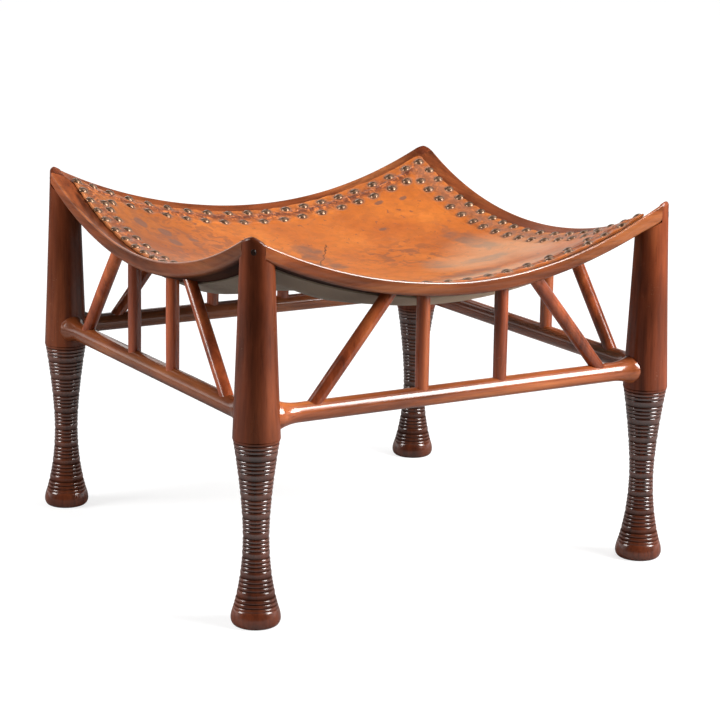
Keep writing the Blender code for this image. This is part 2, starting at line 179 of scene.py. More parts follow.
def moved_with_age(points):
    """Bend points as the real stool is: uneven outer strips, and back corners that lean right."""
    x, y, z = points.T
    to_back = np.clip(0.5 + y / (2 * leg_axis), 0.0, None)
    to_left = np.clip(0.5 - x / (2 * leg_axis), 0.0, None)
    to_right = np.clip(0.5 + x / (2 * leg_axis), 0.0, None)
    lean = high_corner_lean * to_left * to_back + far_corner_lean * (to_right * to_back) ** 3
    lean = lean * z / rail_middle_height
    place = nearest_rail(x, y)
    top = rail_top_at(*place)
    depth = np.clip((top - z) / (top - rail_under_at(*place)), 0.0, 1.0)
    strip = (1.0 - depth) * strip_lift(x, y, lip_lifts_mm) + depth * strip_lift(x, y, under_lifts_mm)
    lift = high_corner_lift * to_left**1.5 * to_back**4 + strip
    return np.column_stack([x + lean, y, z + lift * smooth_step(z, lift_starts, lift_ends)])


def add_piece(name, points, faces, finish, slot, *nodes):
    """Make an object from points and faces, smooth but for its sharp edges, on the frame."""
    points = moved_with_age(points)
    mesh = bpy.data.meshes.new(name)
    mesh.from_pydata(points.tolist(), [], faces)
    mesh.update()
    mesh.shade_smooth()
    mesh.set_sharp_from_angle(angle=math.radians(38.0))
    mesh.materials.append(finish)
    piece = bpy.data.objects.new(name, mesh)
    bpy.context.scene.collection.objects.link(piece)
    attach(piece, "root")
    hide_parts(*nodes)
    return piece


def store_per_point(piece, name, values):
    """Keep a number for each point of a piece, for its finish to read."""
    attribute = piece.data.attributes.new(name, "FLOAT", "POINT")
    attribute.data.foreach_set("value", np.asarray(values, dtype=np.float32).ravel())


def rail_section():
    """Closed outline of a rail, from its inner top edge round the outer face to the underside.

    Each point has its distance in from the outer face, its share of the way from the top
    surface to the underside, an offset upwards and how much it is worn.
    """
    quarter = np.linspace(0.0, math.pi / 2, 7)
    inner = rail_width - rail_inner_round
    top = np.append(np.linspace(inner, head_radius, 7),
                    np.linspace(head_radius, rail_top_round, 4)[1:-1])
    under = np.append(np.linspace(rail_under_round, head_radius, 4)[1:],
                      np.linspace(head_radius, inner, 6)[1:])
    face = np.linspace(0.0, 1.0, 6)[1:-1]
    distance = np.concatenate([
        top, rail_top_round * (1.0 - np.sin(quarter)), -rail_face_swell * np.sin(math.pi * face),
        rail_under_round * (1.0 - np.cos(quarter)), under,
        inner + rail_inner_round * np.sin(quarter[2::2]), rail_width - 0.0 * quarter[:1],
        inner + rail_inner_round * np.cos(quarter[2:-1:2])])
    depth = np.concatenate([0.0 * top, 0.0 * quarter, face, 1.0 + 0.0 * quarter, 1.0 + 0.0 * under,
                            1.0 + 0.0 * quarter[2::2], [0.5], 0.0 * quarter[2:-1:2]])
    offset = np.concatenate([
        0.0 * top, rail_top_round * (np.cos(quarter) - 1.0),
        rail_under_round * face - rail_top_round * (1.0 - face),
        rail_under_round * (1.0 - np.sin(quarter)), 0.0 * under,
        rail_inner_round * (1.0 - np.cos(quarter[2::2])), [0.0],
        rail_inner_round * (np.sin(quarter[2:-1:2]) - 1.0)])
    worn = np.concatenate([0.0 * top, np.sin(2 * quarter), 0.15 + 0.0 * face, 0.5 * np.sin(2 * quarter),
                           0.0 * under, 0.0 * quarter[2::2], [0.0], 0.0 * quarter[2:-1:2]])
    return distance, depth, offset, worn


lip_point = 15
under_point = 20
inner_point = 38


def rail_end(first, turned_over):
    """Faces that close a rail's end: strips from top to underside, as an end has a bend in it.

    The section's points run over the top to the lip, down to the underside and back up inside.
    """
    above = list(range(lip_point, -1, -1)) + [inner_point + 2, inner_point + 1]
    below = list(range(under_point, inner_point))
    faces = [list(range(lip_point, under_point + 1)), [above[-1], below[-1], inner_point]]
    faces += [[above[i], below[i], below[i + 1], above[i + 1]] for i in range(len(above) - 1)]
    return [[first + index for index in (reversed(face) if turned_over else face)] for face in faces]


def rail_points():
    """Carry the section along the front side, each point from mitre to mitre, with its wear.

    The underside and the inner face, which nobody polished, are told apart too.
    """
    distance, depth, offset, worn = rail_section()
    reach = np.minimum(leg_axis, outer_face - distance) - joint_gap
    along = np.linspace(-1.0, 1.0, rail_steps + 1)[:, None] * reach[None, :]
    inward = np.broadcast_to(distance, along.shape)
    height = (1.0 - depth) * rail_top_at(along, inward) + depth * rail_under_at(along, inward) + offset
    points = np.stack([along, inward - outer_face, height], axis=-1)
    rough = smooth_step(distance, 0.5 * rail_under_round, 2 * rail_under_round) * (depth > 0.4)
    return points, np.broadcast_to(worn, along.shape), np.broadcast_to(rough, along.shape)


def new_finish(name, constants):
    """A Principled material, given with its shader, which takes the constants on its sockets."""
    finish = bpy.data.materials.new(name)
    finish.use_nodes = True
    shader = finish.node_tree.nodes["Principled BSDF"]
    for socket, value in constants.items():
        shader.inputs[socket].default_value = value
    return finish, shader


def plug(finish, value, socket):
    """Give a socket a number, a colour or what another node puts out."""
    if isinstance(value, bpy.types.NodeSocket):
        finish.node_tree.links.new(value, socket)
    elif isinstance(value, tuple):
        socket.default_value = (*value, 1.0)
    else:
        socket.default_value = value


def calculated(finish, operation, *values):
    """What a Math node makes of its values, each a number or a socket."""
    made = finish.node_tree.nodes.new("ShaderNodeMath")
    made.operation = operation
    for value, socket in zip(values, made.inputs):
        plug(finish, value, socket)
    return made.outputs["Value"]


def rescaled(finish, value, start, end, low, high):
    """A climb from start to end turned into one from low to high, and level beyond both."""
    made = finish.node_tree.nodes.new("ShaderNodeMapRange")
    for given, socket in zip((value, start, end, low, high), made.inputs):
        plug(finish, given, socket)
    return made.outputs["Result"]


def own_place(finish):
    """Where a point lies in the stool's own space."""
    return finish.node_tree.nodes.new("ShaderNodeTexCoord").outputs["Object"]


def noise(finish, scale, detail, stretch=(1.0, 1.0, 1.0), distortion=0.0, shift=0.0):
    """Noise in object space, stretched along each axis, warped and moved by a shift."""
    mapping = finish.node_tree.nodes.new("ShaderNodeMapping")
    mapping.inputs["Scale"].default_value = [1.0 / factor for factor in stretch]
    mapping.inputs["Location"].default_value = (shift, shift, shift)
    plug(finish, own_place(finish), mapping.inputs["Vector"])
    texture = finish.node_tree.nodes.new("ShaderNodeTexNoise")
    for name, value in (("Vector", mapping.outputs["Vector"]), ("Scale", scale), ("Detail", detail),
                        ("Roughness", 0.6), ("Distortion", distortion)):
        plug(finish, value, texture.inputs[name])
    return texture.outputs["Fac"]


def ramp(finish, source, *stops):
    """Colour or value ramp with (place, grey or colour) stops."""
    made = finish.node_tree.nodes.new("ShaderNodeValToRGB")
    elements = made.color_ramp.elements
    while len(elements) < len(stops):
        elements.new(0.5)
    for element, (position, colour) in zip(elements, stops):
        element.position = position
        element.color = (*colour, 1.0) if isinstance(colour, tuple) else (colour, colour, colour, 1.0)
    plug(finish, source, made.inputs["Fac"])
    return made.outputs["Color"]


def mixed(finish, kind, factor, first, second):
    """Mix two colours; each input is a number, a colour or a socket."""
    made = finish.node_tree.nodes.new("ShaderNodeMix")
    made.data_type = "RGBA"
    made.blend_type = kind
    for value, socket in zip((factor, first, second), (made.inputs[0], made.inputs[6], made.inputs[7])):
        plug(finish, value, socket)
    return made.outputs[2]


def stored(finish, name):
    """A number kept for each point of the piece."""
    attribute = finish.node_tree.nodes.new("ShaderNodeAttribute")
    attribute.attribute_name = name
    return attribute.outputs["Fac"]


def set_bump(finish, shader, height, strength, depth):
    """Bend the shading by a height."""
    bump = finish.node_tree.nodes.new("ShaderNodeBump")
    bump.inputs["Strength"].default_value = strength
    bump.inputs["Distance"].default_value = depth
    plug(finish, height, bump.inputs["Height"])
    plug(finish, bump.outputs["Normal"], shader.inputs["Normal"])


def mahogany(name, grain_axis, dark, middle, light, roughness, coat):
    """Polished mahogany: long streaks and pores along the grain, dents, scratches, wear and dirt, and
    painted light and shade.
    """
    finish, shader = new_finish(name, {"IOR": 1.45, "Coat Roughness": 0.17, "Coat IOR": 2.2,
                                       "Specular IOR Level": 0.12, "Specular Tint": (1.0, 0.75, 0.60, 1.0)})
    dull = calculated(finish, "ADD", stored(finish, "hollow"), stored(finish, "dullness"))
    plug(finish, rescaled(finish, dull, 0.0, 1.0, coat, 0.0), shader.inputs["Coat Weight"])

    def along_grain(length):
        """Stretch that draws a pattern out along the grain."""
        return [length if axis == grain_axis else 1.0 for axis in range(3)]

    figure = ramp(finish, noise(finish, 34.0, 5.0, along_grain(7.0), 0.5), (0.30, dark), (0.50, middle),
                  (0.72, light))
    streaks = ramp(finish, noise(finish, 170.0, 3.0, along_grain(16.0)), (0.35, 0.62), (0.62, 1.0))
    colour = mixed(finish, "MULTIPLY", 0.8, figure, streaks)
    pores = ramp(finish, noise(finish, 620.0, 2.0, along_grain(26.0)), (0.60, 1.0), (0.70, 0.45))
    colour = mixed(finish, "MULTIPLY", 0.55, colour, pores)
    clouds = ramp(finish, noise(finish, 11.0, 2.0, along_grain(1.6)), (0.35, 0.66), (0.65, 1.15))
    colour = mixed(finish, "MULTIPLY", 0.9, colour, clouds)
    rubbed = mixed(finish, "MULTIPLY", 1.0, stored(finish, "worn"),
                   ramp(finish, noise(finish, 60.0, 4.0, along_grain(4.0)), (0.42, 0.0), (0.62, 0.75)))
    colour = mixed(finish, "MIX", rubbed, colour, light)
    # Stored tone: the piece's own colour, and painted light and shade, paler or darker where the lamps light
    # it more or less.
    tone = calculated(finish, "ADD", 1.0, stored(finish, "tone_and_painted_light"))
    colour = mixed(finish, "MULTIPLY", 1.0, colour, tone)
    # Nearly black where stored: dirt in the legs' ring grooves, and painted shade under and inside the
    # rails.
    dirt_and_painted_shade = mixed(finish, "MULTIPLY", 1.0, stored(finish, "hollow"), (0.85, 0.85, 0.85))
    colour = mixed(finish, "MIX", dirt_and_painted_shade, colour, (0.011, 0.005, 0.004))
    scratches = ramp(finish, noise(finish, 230.0, 1.0, along_grain(0.22), 2.2),
                     (0.735, 0.0), (0.765, 0.5))
    scratched_places = ramp(finish, noise(finish, 16.0, 2.0), (0.50, 0.0), (0.62, 1.0))
    scratched = mixed(finish, "MULTIPLY", 1.0, scratches, scratched_places)
    colour = mixed(finish, "MIX", scratched, colour, (0.42, 0.24, 0.16))
    plug(finish, colour, shader.inputs["Base Color"])
    uneven_gloss = ramp(finish, noise(finish, 48.0, 4.0, along_grain(2.5)),
                        (0.3, roughness - 0.07), (0.7, roughness + 0.10))
    gloss = mixed(finish, "MIX", stored(finish, "hollow"), uneven_gloss, (0.85, 0.85, 0.85))
    plug(finish, gloss, shader.inputs["Roughness"])
    uneven = mixed(finish, "ADD", 0.5, noise(finish, 26.0, 3.0, along_grain(3.0)), pores)
    set_bump(finish, shader, uneven, 0.16, 0.4 * millimetre)
    return finish


def end_to_end(along, tones):
    """Blend a side's three tones: at its left end, its middle and its right end."""
    return np.interp(along / leg_axis, (-1.0, 0.0, 1.0), tones)


along_x = 0
along_y = 1
along_z = 2
level_grains = (("x", along_x), ("y", along_y))
# Tones at each rail's left end, middle and right end: the wood's own colour, and painted light and shade,
# such as the darker middle of the front rail.
rail_tone_and_painted_light = {"front": (0.05, -0.25, 0.05), "right": (0.15, 0.05, -0.2),
                 "back": (-0.35, 0.35, 0.35), "left": (0.40, 0.15, -0.50)}
rail_dullness = 0.80
red_dark = (0.075, 0.017, 0.006)
red_middle = (0.260, 0.062, 0.018)
red_light = (0.46, 0.145, 0.045)
rail_finish = [mahogany("polished_rail_" + letter, axis, red_dark, red_middle, red_light, 0.38, 0.50)
               for letter, axis in level_grains]
section_size = len(rail_section()[0])
rail_faces = grid_quads(rail_steps + 1, section_size, closed_rows=True)[:, ::-1].tolist()
rail_faces += rail_end(0, False) + rail_end(rail_steps * section_size, True)
grid, worn, rough = rail_points()
polish_lost = np.maximum(rough, rail_dullness * (1.0 - np.minimum(1.0, 1.4 * worn)))
for turn, side in enumerate(sides):
    rail = add_piece(side + "_rail", turned_about_z(grid.reshape(-1, 3), turn), rail_faces,
                     rail_finish[turn % 2], "polished_mahogany", "rail_" + side)
    store_per_point(rail, "worn", worn)
    # Painted shade: the unpolished underside and inner face are darkened almost to black.
    store_per_point(rail, "hollow", 0.95 * rough)
    store_per_point(rail, "dullness", polish_lost)
    store_per_point(rail, "tone_and_painted_light", end_to_end(grid[..., 0], rail_tone_and_painted_light[side]))


# Legs. Each is one turning of dark mahogany: a plain tapered post, a waist cut with groups of
# three narrow rings and a wide one, and a flared foot. Its head fills the corner of the seat.
head_taper_top = 330.0 * millimetre
post_radius = 20.5 * millimetre
post_bottom = 163.9 * millimetre
post_taper_power = 1.15
waist_radius = 11.4 * millimetre
waist_height = 81.0 * millimetre
waist_top_radius = 20.2 * millimetre
upper_waist_power = 1.55
lower_waist_power = 2.2
foot_band_top = 15.0 * millimetre
foot_band_radius = 19.7 * millimetre
foot_radius = (foot_high.x - foot_low.x) / 2
foot_widest_height = 6.4 * millimetre
foot_base_radius = 17.2 * millimetre
ring_height = 3.5 * millimetre
wide_ring_height = 6.8 * millimetre
groove_depth = 0.95 * millimetre
ring_groups = 8
head_rim_round = 3.0 * millimetre
post_straight_top = 285.0 * millimetre
leg_columns = 72
quarter_columns = leg_columns // 4
cap_shares = (0.75, 0.5, 0.25)


def post_radius_at(height):
    """Radius of the plain post: it swells downwards as a power of the distance from its top."""
    share = np.clip((head_taper_top - height) / (head_taper_top - post_bottom), 0.0, 1.0)
    return head_radius + (post_radius - head_radius) * share**post_taper_power


def waist_radius_at(height):
    """Radius over the rings: least at the waist, growing as a power of the distance from it."""
    up = np.clip((height - waist_height) / (post_bottom - waist_height), 0.0, 1.0)
    down = np.clip((waist_height - height) / (waist_height - foot_band_top), 0.0, 1.0)
    return (waist_radius + (waist_top_radius - waist_radius) * up**upper_waist_power
            + (foot_band_radius - waist_radius) * down**lower_waist_power)


def ring_outline():
    """Heights and radii of the rings, top to bottom: half rounds, and wide ones full at the top."""
    narrow = np.linspace(0.0, 1.0, 8)[:-1]
    wide = np.array([0.0, 0.04, 0.10, 0.18, 0.28, 0.42, 0.58, 0.74, 0.87, 0.95])
    narrow_swell = np.sqrt(1.0 - (2.0 * narrow - 1.0) ** 2)
    wide_swell = np.minimum(1.0, np.sqrt(wide / 0.24)) * np.sqrt(np.clip((1.0 - wide) / 0.55, 0.0, 1.0))
    heights, swells = [], []
    height = post_bottom
    for group in range(ring_groups + 1):
        for _ in range(3):
            heights.append(height - ring_height * narrow)
            swells.append(narrow_swell)
            height -= ring_height
        if group < ring_groups:
            heights.append(height - wide_ring_height * wide)
            swells.append(wide_swell)
            height -= wide_ring_height
    heights = np.concatenate(heights)
    swells = np.concatenate(swells)
    return heights, waist_radius_at(heights) - groove_depth * (1.0 - swells), 1.0 - swells


def foot_outline():
    """The foot below the rings: a plain band flaring to its widest, then rounded under."""
    share = np.linspace(0.0, 1.0, 7)
    flare_height = foot_band_top - share * (foot_band_top - foot_widest_height)
    flare = foot_band_radius + (foot_radius - foot_band_radius) * np.sin(share * math.pi / 2)
    turn = np.linspace(0.0, math.pi / 2, 8)[1:]
    under_height = foot_widest_height * (1.0 - np.sin(turn))
    under = foot_base_radius + (foot_radius - foot_base_radius) * np.cos(turn)
    return np.concatenate([flare_height, under_height]), np.concatenate([flare, under])


def leg_points():
    """Points of the front left leg, from its base up, with the faces that join them.

    The head quarter climbs on from the shoulder, bends over its rim and runs in to the axis
    along the rails' top surface. The other three quarters are cut at the shoulder under the
    rails, and two upright walls join the two.
    """
    ring_heights, ring_radii, hollow = ring_outline()
    foot_heights, foot_radii = foot_outline()
    post_heights = np.linspace(post_straight_top, post_bottom, 14)
    heights = np.concatenate([post_heights, ring_heights, foot_heights])[::-1]
    radii = np.concatenate([post_radius_at(post_heights), ring_radii, foot_radii])[::-1]
    hollow = np.concatenate([0.0 * post_heights, hollow, 0.0 * foot_heights])[::-1]
    angle = math.pi + 2.0 * math.pi * np.arange(leg_columns) / leg_columns

    def ring_of(radius, height, index):
        """Points at a radius and height on the chosen columns, about the leg's axis."""
        return np.column_stack([radius * np.cos(angle[index]) - leg_axis,
                                radius * np.sin(angle[index]) - leg_axis, height])

    every = np.arange(leg_columns)
    blocks = [ring_of(radius, np.full(leg_columns, height), every)
              for radius, height in zip(radii, heights)]
    rim = ring_of(post_radius_at(post_straight_top), 0.0 * angle, every)
    shoulder = rail_under_at(*nearest_rail(rim[:, 0], rim[:, 1])) - 2 * joint_gap
    for share in (0.5, 1.0):
        height = post_straight_top + share * (shoulder - post_straight_top)
        blocks.append(ring_of(post_radius_at(height), height, every))
    rows = len(blocks)
    faces = grid_quads(rows, leg_columns, closed_rows=True).tolist()
    faces.append(list(reversed(range(leg_columns))))
    last_row = (rows - 1) * leg_columns
    count = rows * leg_columns

    head = np.arange(quarter_columns + 1)
    rest = np.arange(quarter_columns, leg_columns + 1) % leg_columns
    head_rim = ring_of(head_radius, 0.0 * angle[head], head)
    head_top = rail_top_at(*nearest_rail(head_rim[:, 0], head_rim[:, 1]))
    turn = np.linspace(0.0, math.pi / 2, 6)
    climb = head_top - head_rim_round - shoulder[head]
    head_rows = [ring_of(head_radius, shoulder[head] + share * climb, head) for share in (0.35, 0.7)]
    head_rows += [ring_of(head_radius - head_rim_round * (1.0 - math.cos(bend)),
                          head_top - head_rim_round * (1.0 - math.sin(bend)), head) for bend in turn]
    for share in cap_shares:
        flat = ring_of(share * (head_radius - head_rim_round), 0.0 * angle[head], head)
        flat[:, 2] = rail_top_at(*nearest_rail(flat[:, 0], flat[:, 1]))
        head_rows.append(flat)
    cap_rows = []
    for share in cap_shares:
        flat = ring_of(share * head_radius, 0.0 * angle[rest], rest)
        flat[:, 2] = rail_under_at(*nearest_rail(flat[:, 0], flat[:, 1])) - 2 * joint_gap
        cap_rows.append(flat)
    centre = np.array([[-leg_axis, -leg_axis, 0.0]])
    head_centre = centre + [0.0, 0.0, rail_top_at(leg_axis, head_radius)]
    cap_centre = centre + [0.0, 0.0, rail_under_at(leg_axis, head_radius) - 2 * joint_gap]
    walls = []
    for columns, layers, middle in ((head, head_rows, head_centre), (rest, cap_rows, cap_centre)):
        numbers = np.vstack([last_row + columns] +
                            [count + layer * len(columns) + np.arange(len(columns))
                             for layer in range(len(layers))])
        blocks += layers + [middle]
        count += len(layers) * len(columns) + 1
        local = grid_quads(len(layers) + 1, len(columns))
        faces += numbers.ravel()[local].tolist()
        inner_row = numbers[-1].tolist()
        faces += [[number, following, count - 1] for number, following in zip(inner_row, inner_row[1:])]
        walls.append([numbers[:, -1].tolist() + [count - 1], numbers[:, 0].tolist() + [count - 1]])
    (head_end, head_start), (rest_end, rest_start) = walls
    faces.append(list(reversed(head_end)) + rest_start[1:])
    faces.append(list(reversed(rest_end)) + head_start[1:])
    points = np.vstack(blocks)
    hollows = np.concatenate([np.repeat(hollow, leg_columns),
                              np.zeros(len(points) - len(hollow) * leg_columns)])
    return points, faces, hollows


# Tones of each leg's post, waist and foot: the wood's own colour, and painted light and shade, paler on the
# front right post and darker on the back legs.
leg_tone_and_painted_light = {"front_left": 0.05, "front_right": 0.4, "back_right": -0.1, "back_left": -0.15}
waist_paleness = {"front_left": -0.3, "front_right": -0.45, "back_right": -0.6, "back_left": -0.4}
post_dullness = 0.83
post_painted_shade_streak = {"front_left": -0.45, "front_right": 0.0, "back_right": -0.1, "back_left": 0.0}
foot_dullness = 0.55
painted_streak_width = 0.33
foot_paleness = {"front_left": 0.0, "front_right": -0.35, "back_right": -0.4, "back_left": -0.3}
turned_dark = (0.070, 0.015, 0.006)
turned_middle = (0.185, 0.040, 0.014)
turned_light = (0.30, 0.075, 0.026)
leg_finish = mahogany("dark_turned_leg", along_z, turned_dark, turned_middle, turned_light, 0.34, 0.75)
points, faces, hollow = leg_points()
for turn, corner in enumerate(corners):
    leg = add_piece(corner + "_leg", turned_about_z(points, turn), faces, leg_finish,
                    "turned_mahogany", "leg_" + corner)
    store_per_point(leg, "hollow", hollow)
    tones = [foot_paleness[corner], waist_paleness[corner], waist_paleness[corner], leg_tone_and_painted_light[corner]]
    tone_heights = (foot_band_top, foot_band_top + wide_ring_height,
                    post_bottom - 3 * ring_height, post_bottom)
    height = points[:, 2]
    place = turned_about_z(points, turn)[:, :2]
    place = place - leg_axis * np.sign(place.mean(axis=0))
    # Painted shade: a dark streak runs down the middle of each post's side that faces the camera, above the
    # waist.
    sideways = (place @ level_right[:2]) / post_radius
    painted_streak = post_painted_shade_streak[corner] * np.exp(-((sideways / painted_streak_width) ** 2))
    painted_streak = painted_streak * (place @ backward[:2] > 0.0) * smooth_step(height, waist_height, post_bottom)
    store_per_point(leg, "tone_and_painted_light", np.interp(height, tone_heights, tones) + painted_streak)
    polish_lost = post_dullness * smooth_step(height, post_bottom - 2 * ring_height, post_bottom)
    polish_lost += foot_dullness * (1.0 - smooth_step(height, foot_band_top, waist_height))
    store_per_point(leg, "dullness", polish_lost)


# Stretchers. Four round bars join the legs low down. Each end swells like a trumpet where it
# meets the post and is let into it.
stretcher_height = 181.2 * millimetre
stretcher_radius = 8.7 * millimetre
trumpet_radius = 12.5 * millimetre
trumpet_length = 20.0 * millimetre
trumpet_sink = 5.0 * millimetre
round_sides = 48


def round_bar(distance, radius, start, direction):
    """Round bar: rings of the given radii at distances from a start along a direction.

    The ends are closed by flat polygons.
    """
    direction = np.asarray(direction) / np.linalg.norm(direction)
    across = np.array([1.0, 0.0, 0.0])
    if abs(direction[2]) < 0.99:
        across = np.cross(direction, [0.0, 0.0, 1.0])
        across = across / np.linalg.norm(across)
    other = np.cross(direction, across)
    angle = 2.0 * math.pi * np.arange(round_sides) / round_sides
    ring = np.cos(angle)[:, None] * across + np.sin(angle)[:, None] * other
    points = (np.asarray(start) + distance[:, None, None] * direction
              + radius[:, None, None] * ring[None, :, :]).reshape(-1, 3)
    faces = grid_quads(len(distance), round_sides, closed_rows=True).tolist()
    faces.append(list(reversed(range(round_sides))))
    faces.append([(len(distance) - 1) * round_sides + index for index in range(round_sides)])
    return points, faces


def stretcher_outline():
    """Distances from the middle and radii: plain, then growing as a square to the trumpet."""
    surface = leg_axis - float(post_radius_at(stretcher_height))
    share = np.linspace(0.0, 1.0, 12)
    end = surface - trumpet_length * (1.0 - share)
    swell = (trumpet_radius - stretcher_radius) * share**2.2
    distance = np.concatenate([np.linspace(0.0, surface - trumpet_length, 20)[:-1], end,
                               [surface + trumpet_sink]])
    radius = np.concatenate([np.full(19, stretcher_radius), stretcher_radius + swell, [trumpet_radius]])
    return np.concatenate([-distance[:0:-1], distance]), np.concatenate([radius[:0:-1], radius])


stretcher_finish = [mahogany("polished_stretcher_" + letter, axis, (0.075, 0.018, 0.007),
                             (0.27, 0.066, 0.019), (0.48, 0.150, 0.044), 0.32, 0.36)
                    for letter, axis in level_grains]
# Tones along each stretcher, at its left end, middle and right end: painted light on the front one, palest
# at its left end, and painted shade at one end of the back one and along the left one.
stretcher_tone_and_painted_light = {"front": (0.6, 0.45, 0.25), "right": (0.0, 0.0, 0.0),
                      "back": (0.0, 0.0, -0.6), "left": (-0.2, -0.25, -0.2)}
distance, radius = stretcher_outline()
points, faces = round_bar(distance, radius, (0.0, -leg_axis, stretcher_height), (1.0, 0.0, 0.0))
for turn, side in enumerate(sides):
    stretcher = add_piece(side + "_stretcher", turned_about_z(points, turn), faces,
                          stretcher_finish[turn % 2], "polished_mahogany", "stretcher_" + side)
    store_per_point(stretcher, "tone_and_painted_light", end_to_end(points[:, 0], stretcher_tone_and_painted_light[side]))


# Struts. On each side two upright rods and two leaning braces stand between stretcher and
# rail, each a plain round rod let into a hole at both ends, a little fuller in its middle.
strut_radius = 6.0 * millimetre
strut_fullness = 0.15 * millimetre
upright_offset = 40.5 * millimetre
brace_foot_offset = 152.5 * millimetre
brace_head_offset = 73.0 * millimetre
stretcher_socket = 5.0 * millimetre
rail_socket = 4.2 * millimetre
strut_finish = mahogany("polished_strut", along_z, (0.075, 0.015, 0.006), (0.30, 0.060, 0.018),
                        (0.46, 0.118, 0.034), 0.32, 0.30)
# Tones of each side's struts: paler on the left side, partly painted light.
strut_tone_and_painted_light = {"front": 0.08, "right": 0.1, "back": 0.0, "left": 0.35}
strut_places = ((-brace_foot_offset, -brace_head_offset), (-upright_offset, -upright_offset),
                (upright_offset, upright_offset), (brace_foot_offset, brace_head_offset))
for number, (foot_offset, head_offset) in enumerate(strut_places, start=1):
    foot = np.array([foot_offset, -leg_axis, stretcher_height])
    head = np.array([head_offset, -leg_axis, rail_under_at(head_offset, head_radius) + rail_socket])
    run = head - foot
    foot = foot + run * (stretcher_radius - stretcher_socket) / run[2]
    length = np.linalg.norm(head - foot)
    distance = np.linspace(0.0, length, 14)
    radius = strut_radius + strut_fullness * np.sin(math.pi * distance / length)
    points, faces = round_bar(distance, radius, foot, run)
    for turn, side in enumerate(sides):
        strut = add_piece(f"{side}_strut_{number}", turned_about_z(points, turn), faces, strut_finish,
                          "polished_mahogany", f"strut_{side}_{number}")
        store_per_point(strut, "tone_and_painted_light", np.full(len(points), strut_tone_and_painted_light[side]))


# Pegs. A small dark peg pins each leg head, its end planed off a hair proud of the polish.
peg_radius = 2.4 * millimetre
peg_length = 9.0 * millimetre
peg_proud = 0.2 * millimetre
peg_drop = 12.0 * millimetre
peg_turn = math.radians(40.0)
peg_finish = mahogany("peg_end_grain", along_z, (0.010, 0.005, 0.004), (0.030, 0.012, 0.008),
                      (0.060, 0.026, 0.016), 0.40, 0.2)
outwards = np.array([-math.sin(peg_turn), -math.cos(peg_turn), 0.0])
peg_height = rail_middle_height + rise(leg_axis + head_radius * math.sqrt(0.5)) - peg_drop
peg_start = (np.array([-leg_axis, -leg_axis, peg_height])
             + outwards * (head_radius + peg_proud - peg_length))
distance = np.concatenate([[0.0], peg_length - peg_proud * np.array([2.0, 0.8, 0.0])])
radius = peg_radius - peg_proud * np.array([0.0, 0.0, 0.2, 1.0])
points, faces = round_bar(distance, radius, peg_start, outwards)
for turn, corner in enumerate(corners):
    add_piece(corner + "_peg", turned_about_z(points, turn), faces, peg_finish, "dark_peg",
              "peg_" + corner)


# Leather seat. One hide is strained over the dished frame and nailed down in two rows. Its
# edge is doubled under, so the band between the rows stands up and has crumpled with age.
inner_face = outer_face - rail_width
leather_edge = 198.5 * millimetre
leather_corner_round = 6.0 * millimetre
leather_off_centre = (2.2 * millimetre, 2.0 * millimetre)
leather_thickness = 2.2 * millimetre
leather_gap = 0.4 * millimetre
seat_sag = 18.0 * millimetre
outer_rows_mm = {"front": 193.3, "right": 194.8, "back": 193.3, "left": 195.0}
inner_rows_mm = {"front": 177.0, "right": 178.0, "back": 172.0, "left": 179.5}
row_lean_shares = {"front": 0.0, "right": 0.0, "back": 0.022, "left": 0.0}
band_start = 168.0 * millimetre
corner_blend = 6.0 * millimetre
band_height = 0.9 * millimetre
fold_inside_nails = 3.0 * millimetre
fold_foot = 2.0 * millimetre
fold_crest = 1.0 * millimetre
fold_wander = 0.8 * millimetre
fold_wander_size = 12.0 * millimetre
ridge_height = 1.0 * millimetre
ridge_width = 5.5 * millimetre
pull_depth = 0.8 * millimetre
pull_width = 6.5 * millimetre
crumple_height = 0.45 * millimetre
crumple_size = 6.0 * millimetre
fine_crumple_size = 2.8 * millimetre
slack_height = 0.5 * millimetre
slack_size = 45.0 * millimetre
scallop_depth = 1.5 * millimetre
scallop_width = 9.0 * millimetre
scallop_reach = 5.0 * millimetre
edge_wander = 0.5 * millimetre
edge_wander_size = 14.0 * millimetre
edge_round = 1.2 * millimetre
noise_lattice = 512


def seat_bowl(x, y, edge_drop, sag):
    """Surface strained over the opening: the rails' curves both ways, let down in the middle."""
    lift = (rise(inner_face) - sag) * (1.0 - (x / inner_face) ** 2) * (1.0 - (y / inner_face) ** 2)
    return rail_middle_height + rise(x) + rise(y) - rise(inner_face) - edge_drop + lift


def seat_base(x, y):
    """Underside of the leather: on the rails, and strained over the opening between them."""
    along, inward = nearest_rail(x, y)
    over_rail = rail_top_at(along, inward)
    over_opening = seat_bowl(x, y, rail_top_dish, seat_sag)
    return np.where(inward < rail_width, over_rail, over_opening) + leather_gap


def nail_places(side, side_places, row):
    """Plan points of one side's nails, from their places along it, for the front side."""
    along = np.array(side_places) * millimetre
    return np.column_stack([along, -row * millimetre - row_lean_shares[side] * along])


